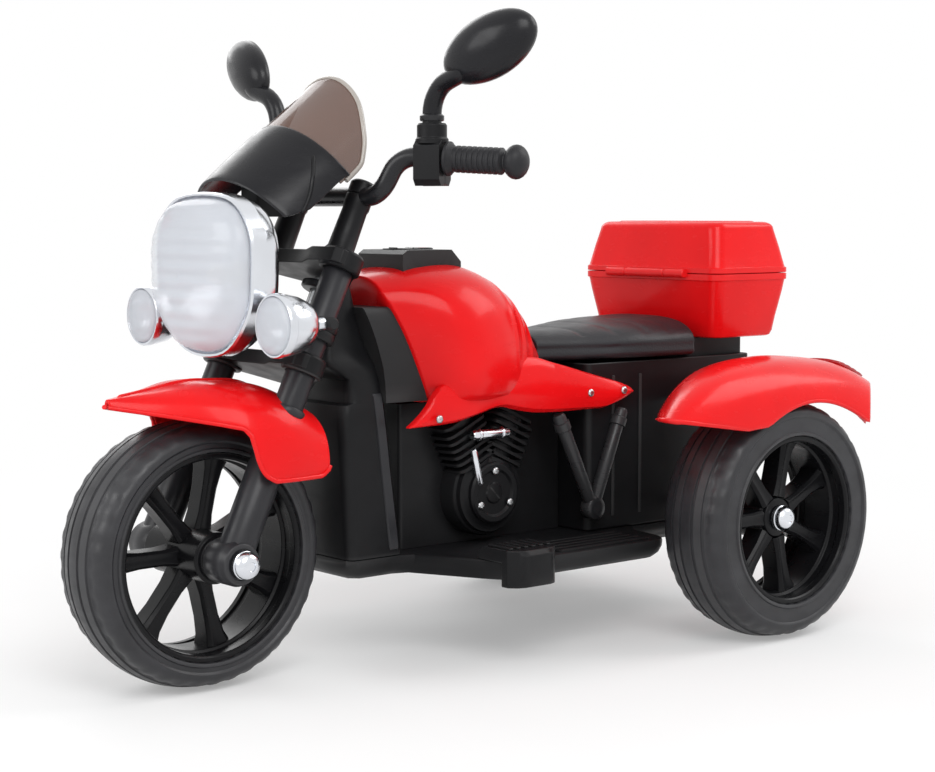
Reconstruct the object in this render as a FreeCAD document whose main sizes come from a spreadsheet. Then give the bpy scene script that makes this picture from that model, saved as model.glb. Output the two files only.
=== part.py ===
import FreeCAD, Part
import math
import os
from types import SimpleNamespace

import Sketcher
from FreeCAD import Placement, Rotation, Vector

# A three-wheel battery ride-on for a small child, in millimetres and degrees.
# +X points forward, +Y to the rider's left and +Z up; the origin is on the floor, mid-length.

SIZES = {
    # stance
    "front_axle_x": 325,
    "wheelbase": 576,
    "rear_track": 400,
    # clearances: still fits, shafts in bores, ends of moving pieces
    "fit_gap": 0.2,
    "running_gap": 0.08,
    "side_gap": 0.6,
    "root_depth": 1,
    # wheels
    "tyre_radius": 125,
    "tyre_width": 81,
    "tyre_shoulder": 17,
    "tyre_crown": 4,
    "front_rim_radius": 97,
    "rear_rim_radius": 87,
    "rim_wall": 4,
    "rim_inset": 3,
    "spoke_count": 7,
    "spoke_width": 16,
    "spoke_depth": 36,
    "window_margin": 5,
    "hub_radius": 24,
    "rear_hub_reach": 14,
    "axle_radius": 6,
    "cap_radius": 13,
    "cap_height": 15,
    "cap_hole": 9,
    # fork and steering, measured along the raked steering axis from the front axle
    "rake": 25,
    "stem_offset": 35,
    "stem_radius": 10,
    "stem_head_radius": 15,
    "stem_head": 5,
    "head_tube_radius": 19,
    "fork_spread": 66,
    "fork_tube_radius": 14,
    "fork_slider_radius": 17,
    "fork_slider_length": 150,
    "fork_boss_radius": 21,
    "fork_boss_proud": 0.8,
    "lower_yoke_height": 186,
    "upper_yoke_height": 290,
    "yoke_thickness": 14,
    "yoke_margin": 18,
    "yoke_lip": 7,
    "post_spread": 50,
    "post_radius": 13,
    "post_cap": 6,
    # handlebar
    "bar_height": 366,
    "bar_set_back": 5,
    "bar_radius": 9,
    "bar_bend_radius": 25,
    "bar_flat_half": 81,
    "bar_shoulder_out": 96,
    "bar_shoulder_rise": 39,
    "bar_end_out": 205,
    "bar_end_back": 57,
    "bar_end_rise": 58,
    "grip_length": 80,
    "grip_radius": 12.5,
    "grip_end_radius": 16,
    "grip_flange": 4,
    "grip_end_length": 24,
    "grip_cap": 3,
    "pod_gap": 2,
    "pod_length": 26,
    "pod_depth": 30,
    "pod_height": 42,
    "pod_boss_radius": 14,
    "pod_boss_height": 16,
    # mirrors
    "mirror_stem_radius": 9,
    "mirror_stem_depth": 14,
    "mirror_stem_straight": 44,
    "mirror_stem_bend": 32,
    "mirror_half_width": 52,
    "mirror_half_height": 29,
    "mirror_bulge": 20,
    "mirror_back": 6,
    "mirror_tilt": 22,
    "mirror_yaw": 15,
    "mirror_set_back": 12,
    "mirror_out": 68,
    "mirror_rise": 98,
    "mirror_lip": 5,
    "mirror_glass": 2,
    # lamps
    "lamp_bar_height": 227,
    "lamp_bar_radius": 6,
    "lamp_bar_bite": 3,
    "lamp_bar_overhang": 3,
    "collar_wall": 5,
    "collar_height": 18,
    "headlight_reach": 39,
    "headlight_rise": 42,
    "headlight_half_width": 82,
    "headlight_half_height": 75,
    "headlight_back": 28,
    "headlight_front": 22,
    "headlight_wall": 4,
    "headlight_boss_radius": 9,
    "lens_bulge": 28,
    "lens_seat": 6,
    "side_lamp_out": 112,
    "side_lamp_reach": 52,
    "side_lamp_radius": 29,
    "side_lamp_bowl": 34,
    "side_lamp_rim": 8,
    "side_lamp_wall": 3,
    "side_lamp_stalk_radius": 7,
    # windshield
    "screen_radius": 78,
    "screen_slope": 38.5,
    "screen_length": 163,
    "screen_half_width": 75,
    "screen_thickness": 3,
    "screen_ahead": 6,
    "screen_lift": 7,
    "cowl_length": 80,
    "cowl_arch": 3,
    "screen_tuck": 12,
    "screen_tab_half": 15,
    # front fender, heights above the axle
    "fender_wall": 4,
    "fender_tip_ahead": 88,
    "fender_tip_rise": 148,
    "fender_rise": 160,
    "fender_half_width": 92,
    "fender_tail_behind": 98,
    "fender_tail_rise": 134,
    "fender_edge_rise": 120,
    "fender_skirt_rise": 72,
    "fender_skirt_ahead": -10,
    "fender_skirt_slope": 7,
    "fender_corner": 14,
    "fender_floor": 12,
    "fender_trim": 5,
    # floor and leg shield
    "deck_height": 86,
    "deck_thickness": 20,
    "board_half_width": 150,
    "board_start": 262,
    "board_nose_slant": 56,
    "board_tail_slant": 22,
    "board_end_ahead": 92,
    "board_corner": 22,
    "foot_pad_setback": 334,
    "foot_pad_length": 126,
    "foot_pad_inner": 90,
    "foot_pad_width": 54,
    "foot_pad_rise": 2,
    "shield_setback_low": 146,
    "shield_setback_high": 138,
    "shield_depth": 66,
    "shield_half_width": 50,
    "shield_yoke_room": 34,
    "shield_yoke_gap": 3,
    "shield_step": 8,
    "shield_head_depth": 16,
    "shield_lean": 14,
    "shield_shoulder": 36,
    "saddle_inset": 3,
    "saddle_lift": 4,
    "saddle_top_reach": 34,
    "peg_start": 250,
    "peg_length": 62,
    "peg_inner": 114,
    "peg_reach": 24,
    "peg_rise": 15,
    "peg_drop": 3,
    "peg_corner": 5,
    "peg_bevel": 15,
    # pedal
    "pedal_hinge_setback": 326,
    "pedal_length": 62,
    "pedal_width": 38,
    "pedal_inner": 71,
    "pedal_thickness": 5,
    "pedal_lift": 7,
    "pedal_pitch": 10,
    "pedal_pin_radius": 3,
    "pedal_ear": 4,
    "pedal_nose": 4,
    # engine moulding
    "engine_setback": 222,
    "engine_spine": 30,
    "crankcase_setback": 318,
    "crankcase_rise": 52,
    "crankcase_radius": 45,
    "crankcase_half_width": 56,
    "cover_radius": 31,
    "cover_depth": 8,
    "barrel_radius": 23,
    "barrel_out": 34,
    "barrel_angle": 25,
    "barrel_start": 36,
    "fin_radius": 30,
    "fin_thickness": 4,
    "fin_pitch": 9,
    "fin_count": 6,
    # tank, dash and side panels
    "tank_setback": 190,
    "tank_end_ahead": 185,
    "tank_bottom": 252,
    "tank_top": 386,
    "tank_half_width": 98,
    "tank_wall": 4,
    "tank_hidden": 52,
    "tank_rake": 48,
    "tank_brow": 16,
    "hatch_length": 70,
    "hatch_width": 50,
    "dash_setback": 222,
    "dash_length": 74,
    "dash_half_width": 36,
    "dash_rise": 17,
    "dash_bevel": 12,
    "dash_root": 40,
    "panel_thickness": 15,
    "panel_gap": 0.8,
    "panel_tip_setback": 196,
    "panel_end_ahead": 76,
    "panel_top_gap": 2,
    "panel_depth": 44,
    "panel_tip_depth": 48,
    "panel_end_depth": 30,
    "panel_crest": 14,
    "panel_fall": 8,
    "panel_notch": 10,
    "panel_tip_slope": 30,
    "panel_tip_rise": 24,
    "panel_corner": 8,
    # dash controls
    "switch_length": 22,
    "switch_width": 13,
    "switch_height": 9,
    "switch_clearance": 2.4,
    "switch_pin_radius": 1.6,
    "switch_pin_reach": 4,
    "button_radius": 7,
    "button_flange": 1.6,
    "button_travel": 2,
    "button_proud": 3.5,
    "button_neck": 5,
    # rear frame, seat and rack
    "frame_ahead": 138,
    "frame_behind": 114,
    "frame_half_width": 72,
    "frame_wall": 4,
    "frame_top": 283,
    "strut_radius": 7,
    "strut_foot_ahead": 134,
    "strut_foot_rise": 26,
    "strut_gap": 10,
    "strut_front_ahead": 184,
    "strut_rear_ahead": 92,
    "socket_radius": 2.8,
    "socket_height": 180,
    "seat_behind": 10,
    "seat_half_width": 86,
    "seat_nose_half_width": 48,
    "seat_top": 327,
    "seat_hidden": 30,
    "rack_half_width": 60,
    "rack_height": 20,
    "rack_front_gap": 4,
    # rear fenders
    "mudguard_tip_ahead": 184,
    "mudguard_tail_behind": 199,
    "mudguard_rise": 40,
    "mudguard_wall": 4,
    "mudguard_lip_out": 48,
    "mudguard_sweep": 130,
    "mudguard_low": 221,
    "mudguard_nose_lift": 18,
    "mudguard_tail_drop": 40,
    "mudguard_trim": 5,
    "arch_half_width": 82,
    "arch_rise": 25,
    "tail_lamp_thickness": 5,
    "tail_lamp_gap": 0.7,
    "tail_lamp_length": 40,
    "tail_lamp_width": 66,
    "tail_lamp_behind": 112,
    # top box
    "box_behind": 22,
    "box_length": 122,
    "box_half_width": 105,
    "box_base_height": 70,
    "lid_height": 57,
    "box_base_taper": 12,
    "lid_taper": 13,
    "box_wall": 4,
    "box_corner": 12,
    "lid_gap": 0.4,
    "hinge_radius": 5,
    "hinge_sink": 2,
    "hinge_pin_radius": 2.2,
    "hinge_half_span": 60,
    "hinge_half_knuckle": 30,
    # drive train
    "gear_module": 1.5,
    "pinion_teeth": 12,
    "compound_big_teeth": 40,
    "compound_small_teeth": 14,
    "output_teeth": 44,
    "gear_face": 10,
    "gear_spacing": 4,
    "first_mesh_angle": 120,
    "second_mesh_angle": 20,
    "gearbox_wall": 4,
    "gearbox_depth": 74,
    "gear_room": 6,
    "gear_shaft_radius": 4,
    "output_hub_radius": 14,
    "motor_radius": 18,
    "motor_length": 54,
    "motor_shaft_radius": 2.5,
    "motor_shaft_room": 4,
    "collar_radius": 10,
    "collar_width": 6,
    "battery_length": 70,
    "battery_width": 116,
    "battery_height": 92,
    # screws
    "screw_radius": 4,
    "screw_head": 2,
}


class Dim:
    """A size as a number together with the sheet expression that gives it."""

    def __init__(self, value, text):
        self.value = float(value)
        self.text = text

    def __float__(self):
        return self.value

    def __neg__(self):
        return Dim(-self.value, f"(-{self.text})")

    def __add__(self, other):
        other = dim(other)
        return Dim(self.value + other.value, f"({self.text} + {other.text})")

    def __sub__(self, other):
        other = dim(other)
        return Dim(self.value - other.value, f"({self.text} - {other.text})")

    def __mul__(self, other):
        other = dim(other)
        return Dim(self.value * other.value, f"({self.text} * {other.text})")

    def __truediv__(self, other):
        other = dim(other)
        return Dim(self.value / other.value, f"({self.text} / {other.text})")

    def __radd__(self, other):
        return dim(other) + self

    def __rsub__(self, other):
        return dim(other) - self

    def __rmul__(self, other):
        return dim(other) * self

    def __rtruediv__(self, other):
        return dim(other) / self


def dim(number):
    """Give a plain number the form of a size."""
    if isinstance(number, Dim):
        return number
    return Dim(number, f"({float(number):.9g})")


def sine(angle):
    return Dim(math.sin(math.radians(angle.value)), f"sin({angle.text})")


def cosine(angle):
    return Dim(math.cos(math.radians(angle.value)), f"cos({angle.text})")


def arcsine(ratio):
    return Dim(math.degrees(math.asin(ratio.value)), f"asin({ratio.text}) / 1 deg")


doc = FreeCAD.newDocument("RideOnMotorbike")
sheet = doc.addObject("Spreadsheet::Sheet", "Sizes")
for row, (alias, number) in enumerate(SIZES.items(), start=1):
    sheet.set(f"A{row}", alias)
    sheet.set(f"B{row}", str(number))
    sheet.setAlias(f"B{row}", alias)
doc.recompute()
S = SimpleNamespace(**{alias: Dim(sheet.get(alias), f"Sizes.{alias}") for alias in SIZES})

front_x = S.front_axle_x
rear_x = S.front_axle_x - S.wheelbase
axle_z = S.tyre_radius
half_tyre = S.tyre_width / 2
half_track = S.rear_track / 2
deck_top = S.deck_height + S.deck_thickness
frame_side = S.frame_half_width + S.fit_gap
fork_boss_half = S.fork_slider_radius + S.fork_boss_proud
panel_top = S.frame_top - S.panel_top_gap
panel_low = panel_top - S.panel_depth
ARC_MIDDLE = math.sqrt(0.5)

pieces = {}


def keep(label, obj):
    """Name an object as one of the finished pieces."""
    obj.Label = label
    pieces[label] = obj
    return obj


def point(x, y, z):
    return Vector(float(x), float(y), float(z))


def steer(forward, left, up):
    """A place given along the raked fork, as seen from the front axle."""
    tilt_sine = sine(S.rake)
    tilt_cosine = cosine(S.rake)
    x = front_x + forward * tilt_cosine - up * tilt_sine
    z = axle_z + forward * tilt_sine + up * tilt_cosine
    return x, dim(left), z


AXES = {
    "X": Rotation(Vector(0, 1, 0), 90),
    "Y": Rotation(Vector(1, 0, 0), -90),
    "Z": Rotation(),
}


def place(obj, at, axis="Z"):
    """Bind an object's position, with its own Z axis laid along the named axis."""
    if axis == "rake":
        obj.Placement = Placement(point(*at), Rotation(Vector(0, 1, 0), -float(S.rake)))
        obj.setExpression("Placement.Rotation.Angle", f"-{S.rake.text}")
    else:
        turn = axis if isinstance(axis, Rotation) else AXES[axis]
        obj.Placement = Placement(point(*at), turn)
    for name, value in zip("xyz", at):
        obj.setExpression(f"Placement.Base.{name}", dim(value).text)
    return obj


def bind(obj, **values):
    for name, value in values.items():
        obj.setExpression(name, dim(value).text)
    return obj


def cylinder(name, radius, height, at, axis="Z"):
    obj = bind(doc.addObject("Part::Cylinder", name), Radius=radius, Height=height)
    return place(obj, at, axis)


def block(name, length, width, height, at, axis="Z"):
    obj = bind(doc.addObject("Part::Box", name), Length=length, Width=width, Height=height)
    return place(obj, at, axis)


def laid(kind, name, placement, **sizes):
    """A primitive with bound sizes, laid along a direction worked out from the sizes."""
    obj = bind(doc.addObject(kind, name), **sizes)
    obj.Placement = placement
    return obj


def rod(name, radius, start, stop):
    """A straight round bar between two places."""
    along = stop - start
    turn = Rotation(Vector(0, 0, 1), along)
    return laid("Part::Cylinder", name, Placement(start, turn), Radius=radius, Height=along.Length)


def fuse(name, *parts):
    obj = doc.addObject("Part::MultiFuse", name)
    obj.Shapes = list(parts)
    return obj


def cut(name, base, *tools):
    obj = doc.addObject("Part::Cut", name)
    obj.Base = base
    obj.Tool = tools[0] if len(tools) == 1 else fuse(f"{name}_tools", *tools)
    return obj


def group(name, *parts):
    obj = doc.addObject("Part::Compound", name)
    obj.Links = list(parts)
    return obj


def mirrored(name, source):
    """The right-hand copy of a left-hand piece."""
    obj = doc.addObject("Part::Mirroring", name)
    obj.Source = source
    obj.Normal = Vector(0, 1, 0)
    return obj


def solid(name, shape, at=Placement()):
    """A free-form piece whose shape is worked out from the sheet's sizes."""
    obj = doc.addObject("Part::Feature", name)
    obj.Shape = shape
    obj.Placement = at
    return obj


class Via(tuple):
    """A point that bends the side of an outline between its neighbours into an arc."""


def sketch_on(body, plane, name):
    sketch = body.newObject("Sketcher::SketchObject", name)
    support = [item for item in body.Origin.OriginFeatures if item.Role == plane]
    sketch.AttachmentSupport = [(support[0], "")]
    sketch.MapMode = "FlatFace"
    return sketch


def pin_point(sketch, geometry, vertex, at):
    """Hold one sketch point at a place worked out from the sheet."""
    for kind, value in zip(("DistanceX", "DistanceY"), at):
        value = dim(value)
        index = sketch.addConstraint(Sketcher.Constraint(kind, -1, 1, geometry, vertex, value.value))
        name = f"{kind}_{index}"
        sketch.renameConstraint(index, name)
        sketch.setExpression(f"Constraints.{name}", value.text)


def draw(sketch, path):
    """Draw a closed outline of lines, with an arc wherever a Via stands between two corners."""
    corners = []
    bends = {}
    for item in path:
        if isinstance(item, Via):
            bends[len(corners) - 1] = item
        else:
            corners.append(item)
    flat = [Vector(float(x), float(y), 0) for x, y in corners]
    ends = []
    for index, start in enumerate(flat):
        stop = flat[(index + 1) % len(flat)]
        if index not in bends:
            number = sketch.addGeometry(Part.LineSegment(start, stop), False)
            ends.append((number, 1, 2))
            continue
        middle = Vector(float(bends[index][0]), float(bends[index][1]), 0)
        turn = (middle - start).cross(stop - middle).z
        arc = Part.Arc(start, middle, stop) if turn > 0 else Part.Arc(stop, middle, start)
        number = sketch.addGeometry(arc, False)
        ends.append((number, 1, 2) if turn > 0 else (number, 2, 1))
    for index, (number, first, last) in enumerate(ends):
        after, after_first, _ = ends[(index + 1) % len(ends)]
        sketch.addConstraint(Sketcher.Constraint("Coincident", number, last, after, after_first))
        pin_point(sketch, number, first, corners[index])
    for index, bend in bends.items():
        mark = sketch.addGeometry(Part.Point(Vector(float(bend[0]), float(bend[1]), 0)), True)
        pin_point(sketch, mark, 1, bend)
        sketch.addConstraint(Sketcher.Constraint("PointOnObject", mark, 1, ends[index][0]))


def ring(sketch, at, radius):
    """Add a round hole or disc to a sketch."""
    centre = Vector(float(at[0]), float(at[1]), 0)
    number = sketch.addGeometry(Part.Circle(centre, Vector(0, 0, 1), float(radius)), False)
    pin_point(sketch, number, 3, at)
    index = sketch.addConstraint(Sketcher.Constraint("Radius", number, float(radius)))
    sketch.renameConstraint(index, f"Radius_{index}")
    sketch.setExpression(f"Constraints.Radius_{index}", dim(radius).text)


def turned(name, path):
    """A body of revolution about its own Z axis, from an outline of radius and height."""
    body = doc.addObject("PartDesign::Body", name)
    sketch = sketch_on(body, "XZ_Plane", f"{name}_section")
    draw(sketch, path)
    revolution = body.newObject("PartDesign::Revolution", f"{name}_turn")
    revolution.Profile = sketch
    revolution.ReferenceAxis = (sketch, ["V_Axis"])
    revolution.Angle = 360
    return body


def padded(name, plane, length, path, symmetric=True, holes=()):
    """A body padded from an outline on one of its origin planes."""
    body = doc.addObject("PartDesign::Body", name)
    sketch = sketch_on(body, plane, f"{name}_outline")
    draw(sketch, path)
    for at, radius in holes:
        ring(sketch, at, radius)
    pad = body.newObject("PartDesign::Pad", f"{name}_pad")
    pad.Profile = sketch
    pad.SideType = "Symmetric" if symmetric else "One side"
    bind(pad, Length=length)
    return body


def mirror_outline(half):
    """Close an outline that is given on one side of the X axis."""
    return list(half) + [(x, -y) for x, y in reversed(half)]


def smooth_wire(points):
    """A closed smooth curve through a few points."""
    curve = Part.BSplineCurve()
    curve.interpolate(Points=points, PeriodicFlag=True)
    return Part.Wire([curve.toShape()])


def open_curve(points):
    curve = Part.BSplineCurve()
    curve.interpolate(Points=points)
    return curve.toShape()


def oval_section(x, half_width, low, top, power=2.6, count=20):
    """A rounded-box cross-section in a plane of constant X."""
    middle = (float(low) + float(top)) / 2
    half_height = (float(top) - float(low)) / 2
    points = []
    for index in range(count):
        angle = 2 * math.pi * index / count
        across = math.copysign(abs(math.cos(angle)) ** (2 / power), math.cos(angle))
        upward = math.copysign(abs(math.sin(angle)) ** (2 / power), math.sin(angle))
        points.append(Vector(float(x), float(half_width) * across, middle + half_height * upward))
    return smooth_wire(points)


def prism(outline, low, high, plane="XZ"):
    """A straight prism over a corner list in the XZ or XY plane."""
    if plane == "XZ":
        corners = [Vector(float(x), float(low), float(z)) for x, z in outline]
        reach = Vector(0, float(high) - float(low), 0)
    else:
        corners = [Vector(float(x), float(y), float(low)) for x, y in outline]
        reach = Vector(0, 0, float(high) - float(low))
    return Part.Face(Part.makePolygon(corners + corners[:1])).extrude(reach)


def all_below(level):
    """A block that takes in everything under a level."""
    reach = float(S.wheelbase)
    return Part.makeBox(2 * reach, 2 * reach, reach, Vector(-reach, -reach, float(level) - reach))


def bent_tube(points, radius, bend):
    """A round bar along straight runs joined by tangent arcs."""
    edges = []
    start = points[0]
    for before, corner, after in zip(points, points[1:], points[2:]):
        arriving = (corner - before).normalize()
        leaving = (after - corner).normalize()
        half_turn = arriving.getAngle(leaving) / 2
        setback = bend * math.tan(half_turn)
        first = corner - arriving * setback
        last = corner + leaving * setback
        inward = (leaving - arriving).normalize()
        middle = corner + inward * (bend / math.cos(half_turn) - bend)
        edges.append(Part.LineSegment(start, first).toShape())
        edges.append(Part.Arc(first, middle, last).toShape())
        start = last
    edges.append(Part.LineSegment(start, points[-1]).toShape())
    heading = points[1] - points[0]
    circle = Part.Wire([Part.Circle(points[0], heading, radius).toShape()])
    return Part.Wire(edges).makePipeShell([circle], True, True)


# Wheels

def make_tyre(name, rim_radius):
    outer = S.tyre_radius
    shoulder = outer - S.tyre_shoulder
    tread = outer - S.tyre_crown
    rise = S.tyre_shoulder - S.tyre_crown
    edge = half_tyre - S.tyre_shoulder
    bulge_radius = shoulder + rise * ARC_MIDDLE
    bulge_side = half_tyre - S.tyre_shoulder * (1 - ARC_MIDDLE)
    return turned(name, [
        (rim_radius, -half_tyre), (shoulder, -half_tyre), Via((bulge_radius, -bulge_side)),
        (tread, -edge), Via((outer, dim(0))), (tread, edge), Via((bulge_radius, bulge_side)),
        (shoulder, half_tyre), (rim_radius, half_tyre),
    ])


def make_rim(name, rim_radius, hub_in, hub_out):
    """A spoked rim: barrel, web and hub in one turning, with a ring of windows cut through the web."""
    outer = rim_radius - S.fit_gap
    inner = outer - S.rim_wall
    edge = half_tyre - S.rim_inset
    web = S.spoke_depth / 2
    bore = S.axle_radius + S.running_gap
    body = turned(name, [
        (outer, -edge), (outer, edge), (inner, edge), (inner, web), (S.hub_radius, web),
        (S.hub_radius, hub_out), (bore, hub_out), (bore, -hub_in), (S.hub_radius, -hub_in),
        (S.hub_radius, -web), (inner, -web), (inner, -edge),
    ])
    near = S.hub_radius + S.window_margin
    far = inner - S.window_margin
    near_angle = 180 / S.spoke_count - arcsine(S.spoke_width / (2 * near))
    far_angle = 180 / S.spoke_count - arcsine(S.spoke_width / (2 * far))
    near_corner = (near * cosine(near_angle), near * sine(near_angle))
    far_corner = (far * cosine(far_angle), far * sine(far_angle))
    sketch = sketch_on(body, "XY_Plane", f"{name}_window")
    draw(sketch, [
        (near_corner[0], -near_corner[1]), (far_corner[0], -far_corner[1]), Via((far, dim(0))),
        far_corner, near_corner, Via((near, dim(0))),
    ])
    pocket = body.newObject("PartDesign::Pocket", f"{name}_pocket")
    pocket.Profile = sketch
    pocket.SideType = "Symmetric"
    bind(pocket, Length=S.spoke_depth * 2)
    doc.recompute()
    pattern = body.newObject("PartDesign::PolarPattern", f"{name}_windows")
    pattern.Originals = [pocket]
    pattern.Axis = (sketch, ["N_Axis"])
    pattern.Angle = 360
    bind(pattern, Occurrences=S.spoke_count)
    body.Tip = pattern
    return body


def make_cap(name):
    """A domed axle cap with a blind hole, open end at the bottom."""
    hole = S.axle_radius + S.fit_gap
    skirt = S.cap_height * 0.4
    dome_radius = S.cap_radius * 0.78
    dome_height = S.cap_height * 0.86
    return turned(name, [
        (hole, dim(0)), (S.cap_radius, dim(0)), (S.cap_radius, skirt), Via((dome_radius, dome_height)),
        (S.cap_radius * 0.2, S.cap_height), (dim(0), S.cap_height), (dim(0), S.cap_hole), (hole, S.cap_hole),
    ])


def make_wheels():
    front_hub = S.fork_spread - fork_boss_half - S.side_gap
    centre = (front_x, 0, axle_z)
    keep("front_tyre", place(make_tyre("front_tyre", S.front_rim_radius), centre, "Y"))
    keep("front_rim", place(make_rim("front_rim", S.front_rim_radius, front_hub, front_hub), centre, "Y"))
    centre = (rear_x, half_track, axle_z)
    rear_hub = half_tyre - S.rim_inset
    tyre = place(make_tyre("rear_tyre_left", S.rear_rim_radius), centre, "Y")
    rim = place(make_rim("rear_rim_left", S.rear_rim_radius, rear_hub, S.rear_hub_reach), centre, "Y")
    keep("rear_tyre_left", tyre)
    keep("rear_rim_left", rim)
    keep("rear_tyre_right", mirrored("rear_tyre_right", tyre))
    keep("rear_rim_right", mirrored("rear_rim_right", rim))


# Fork

def make_fork_leg(side, tube_top):
    """One leg: slider and tube turned in one, with a boss round the axle."""
    spread = side * S.fork_spread
    leg = turned("leg", [
        (dim(0), dim(0)), (S.fork_slider_radius, dim(0)), (S.fork_slider_radius, S.fork_slider_length),
        (S.fork_tube_radius, S.fork_slider_length), (S.fork_tube_radius, tube_top), (dim(0), tube_top),
    ])
    place(leg, steer(dim(0), spread, dim(0)), "rake")
    boss = cylinder("boss", S.fork_boss_radius, 2 * fork_boss_half,
                    steer(dim(0), spread - fork_boss_half, dim(0)), "Y")
    hole = cylinder("axle_hole", S.axle_radius + S.fit_gap, 4 * S.fork_slider_radius,
                    (front_x, spread - 2 * S.fork_slider_radius, axle_z), "Y")
    return cut("fork_leg", fuse("leg_and_boss", leg, boss), hole)


def make_fork():
    spread = S.fork_spread
    tube_top = S.upper_yoke_height + S.yoke_thickness - S.fit_gap
    keep("fork_leg_left", make_fork_leg(1, tube_top))
    keep("fork_leg_right", make_fork_leg(-1, tube_top))
    leg_face = spread + fork_boss_half
    reach = leg_face + S.cap_hole - S.side_gap
    keep("front_axle", cylinder("front_axle", S.axle_radius, 2 * reach, (front_x, -reach, axle_z), "Y"))
    cap = place(make_cap("front_cap"), (front_x, leg_face + S.fit_gap, axle_z), "Y")
    keep("front_axle_caps", group("front_axle_caps", cap, mirrored("front_cap_right", cap)))


def make_yoke(name, height):
    back = S.stem_offset + S.stem_radius + S.yoke_lip
    side = S.fork_spread + S.yoke_margin
    half = [(-back, S.stem_radius + S.yoke_lip), (-S.yoke_margin * 0.6, side), (S.yoke_margin * 1.1, side)]
    tube_hole = S.fork_tube_radius + S.fit_gap
    holes = [
        ((dim(0), S.fork_spread), tube_hole), ((dim(0), -S.fork_spread), tube_hole),
        ((-S.stem_offset, dim(0)), S.stem_radius + S.fit_gap),
    ]
    body = padded(name, "XY_Plane", S.yoke_thickness, mirror_outline(half), False, holes)
    return place(body, steer(dim(0), dim(0), height), "rake")


def make_yokes():
    keep("lower_yoke", make_yoke("lower_yoke", S.lower_yoke_height))
    top = S.upper_yoke_height + S.yoke_thickness
    plate = make_yoke("upper_plate", S.upper_yoke_height)
    post_height = S.bar_height + S.bar_radius + S.post_cap - top
    posts = []
    for side in (1, -1):
        at = steer(-S.bar_set_back, side * S.post_spread, top)
        posts.append(cylinder("post", S.post_radius, post_height, at, "rake"))
    bar_span = S.post_spread + S.post_radius
    bar_hole = cylinder("bar_hole", S.bar_radius + S.fit_gap, 3 * bar_span,
                        steer(-S.bar_set_back, -1.5 * bar_span, S.bar_height), "Y")
    keep("upper_yoke", cut("upper_yoke", fuse("yoke_and_posts", plate, *posts), bar_hole))
    shaft = cylinder("stem", S.stem_radius, top - S.lower_yoke_height,
                     steer(-S.stem_offset, dim(0), S.lower_yoke_height), "rake")
    head = cylinder("stem_head", S.stem_head_radius, S.stem_head,
                    steer(-S.stem_offset, dim(0), top + S.fit_gap), "rake")
    link = cylinder("stem_link", S.stem_radius, S.stem_head,
                    steer(-S.stem_offset, dim(0), top - S.stem_head / 2), "rake")
    keep("steering_stem", fuse("steering_stem", shaft, link, head))


# Handlebar, grips and mirrors

def bar_points():
    """The left half of the bar's bends, from the middle outwards."""
    low = S.bar_height
    places = [
        steer(-S.bar_set_back, dim(0), low),
        steer(-S.bar_set_back, S.bar_flat_half, low),
        steer(dim(0), S.bar_shoulder_out, low + S.bar_shoulder_rise),
        steer(-S.bar_end_back, S.bar_end_out, low + S.bar_end_rise),
    ]
    return [point(*at) for at in places]


def make_handlebar():
    left = bar_points()
    right = [Vector(at.x, -at.y, at.z) for at in left[:0:-1]]
    tube = bent_tube(right + left[1:], float(S.bar_radius), float(S.bar_bend_radius))
    keep("handlebar", solid("handlebar", tube))
    shoulder, end = left[2], left[3]
    heading = (end - shoulder).normalize()
    bore = S.bar_radius + S.fit_gap
    waist = S.grip_radius
    knob = S.grip_length - S.grip_end_length
    knob_mid = S.grip_length - S.grip_end_length / 2
    grip = turned("grip_left", [
        (bore, dim(0)), (S.grip_end_radius, dim(0)), (S.grip_end_radius, S.grip_flange),
        (waist, S.grip_flange + 2), (waist, knob), Via((S.grip_end_radius, knob_mid)),
        (waist, S.grip_length), (dim(0), S.grip_length), (dim(0), S.grip_length - S.grip_cap),
        (bore, S.grip_length - S.grip_cap),
    ])
    grip_reach = float(S.grip_length - S.grip_cap - S.fit_gap)
    grip.Placement = Placement(end - heading * grip_reach, Rotation(Vector(0, 0, 1), heading))
    keep("grip_left", grip)
    keep("grip_right", mirrored("grip_right", grip))
    make_pods(end - heading * (grip_reach + float(S.pod_length + S.pod_gap)), heading)


def make_pods(start, heading):
    """The clamp beside each grip, with the upright boss that a mirror stem turns in."""
    level = Vector(heading.x, heading.y, 0).normalize()
    upright = Vector(0, 0, 1)
    middle = start + heading * float(S.pod_length / 2)
    turn = Rotation(upright.cross(level), upright, level, "ZYX")
    below = S.pod_height * 0.62
    above = S.pod_height - below
    corner = turn.multVec(point(-S.pod_depth / 2, -below, -S.pod_length / 2))
    case = laid("Part::Box", "pod_case", Placement(middle + corner, turn),
                Length=S.pod_depth, Width=S.pod_height, Height=S.pod_length)
    boss = cylinder("pod_boss", S.pod_boss_radius, S.pod_boss_height + above / 2,
                    (middle.x, middle.y, middle.z + above / 2))
    stem_low = middle.z + above + S.pod_boss_height - S.mirror_stem_depth
    socket = cylinder("stem_socket", S.mirror_stem_radius + S.running_gap, 2 * S.mirror_stem_depth,
                      (middle.x, middle.y, stem_low))
    clear = heading * float(3 * S.pod_length)
    passage = rod("bar_passage", S.bar_radius + S.fit_gap, middle - clear, middle + clear)
    left = keep("switch_pod_left", cut("switch_pod_left", fuse("pod", case, boss), socket, passage))
    keep("switch_pod_right", mirrored("switch_pod_right", left))
    make_mirrors(point(middle.x, middle.y, stem_low + S.side_gap), middle)


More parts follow.
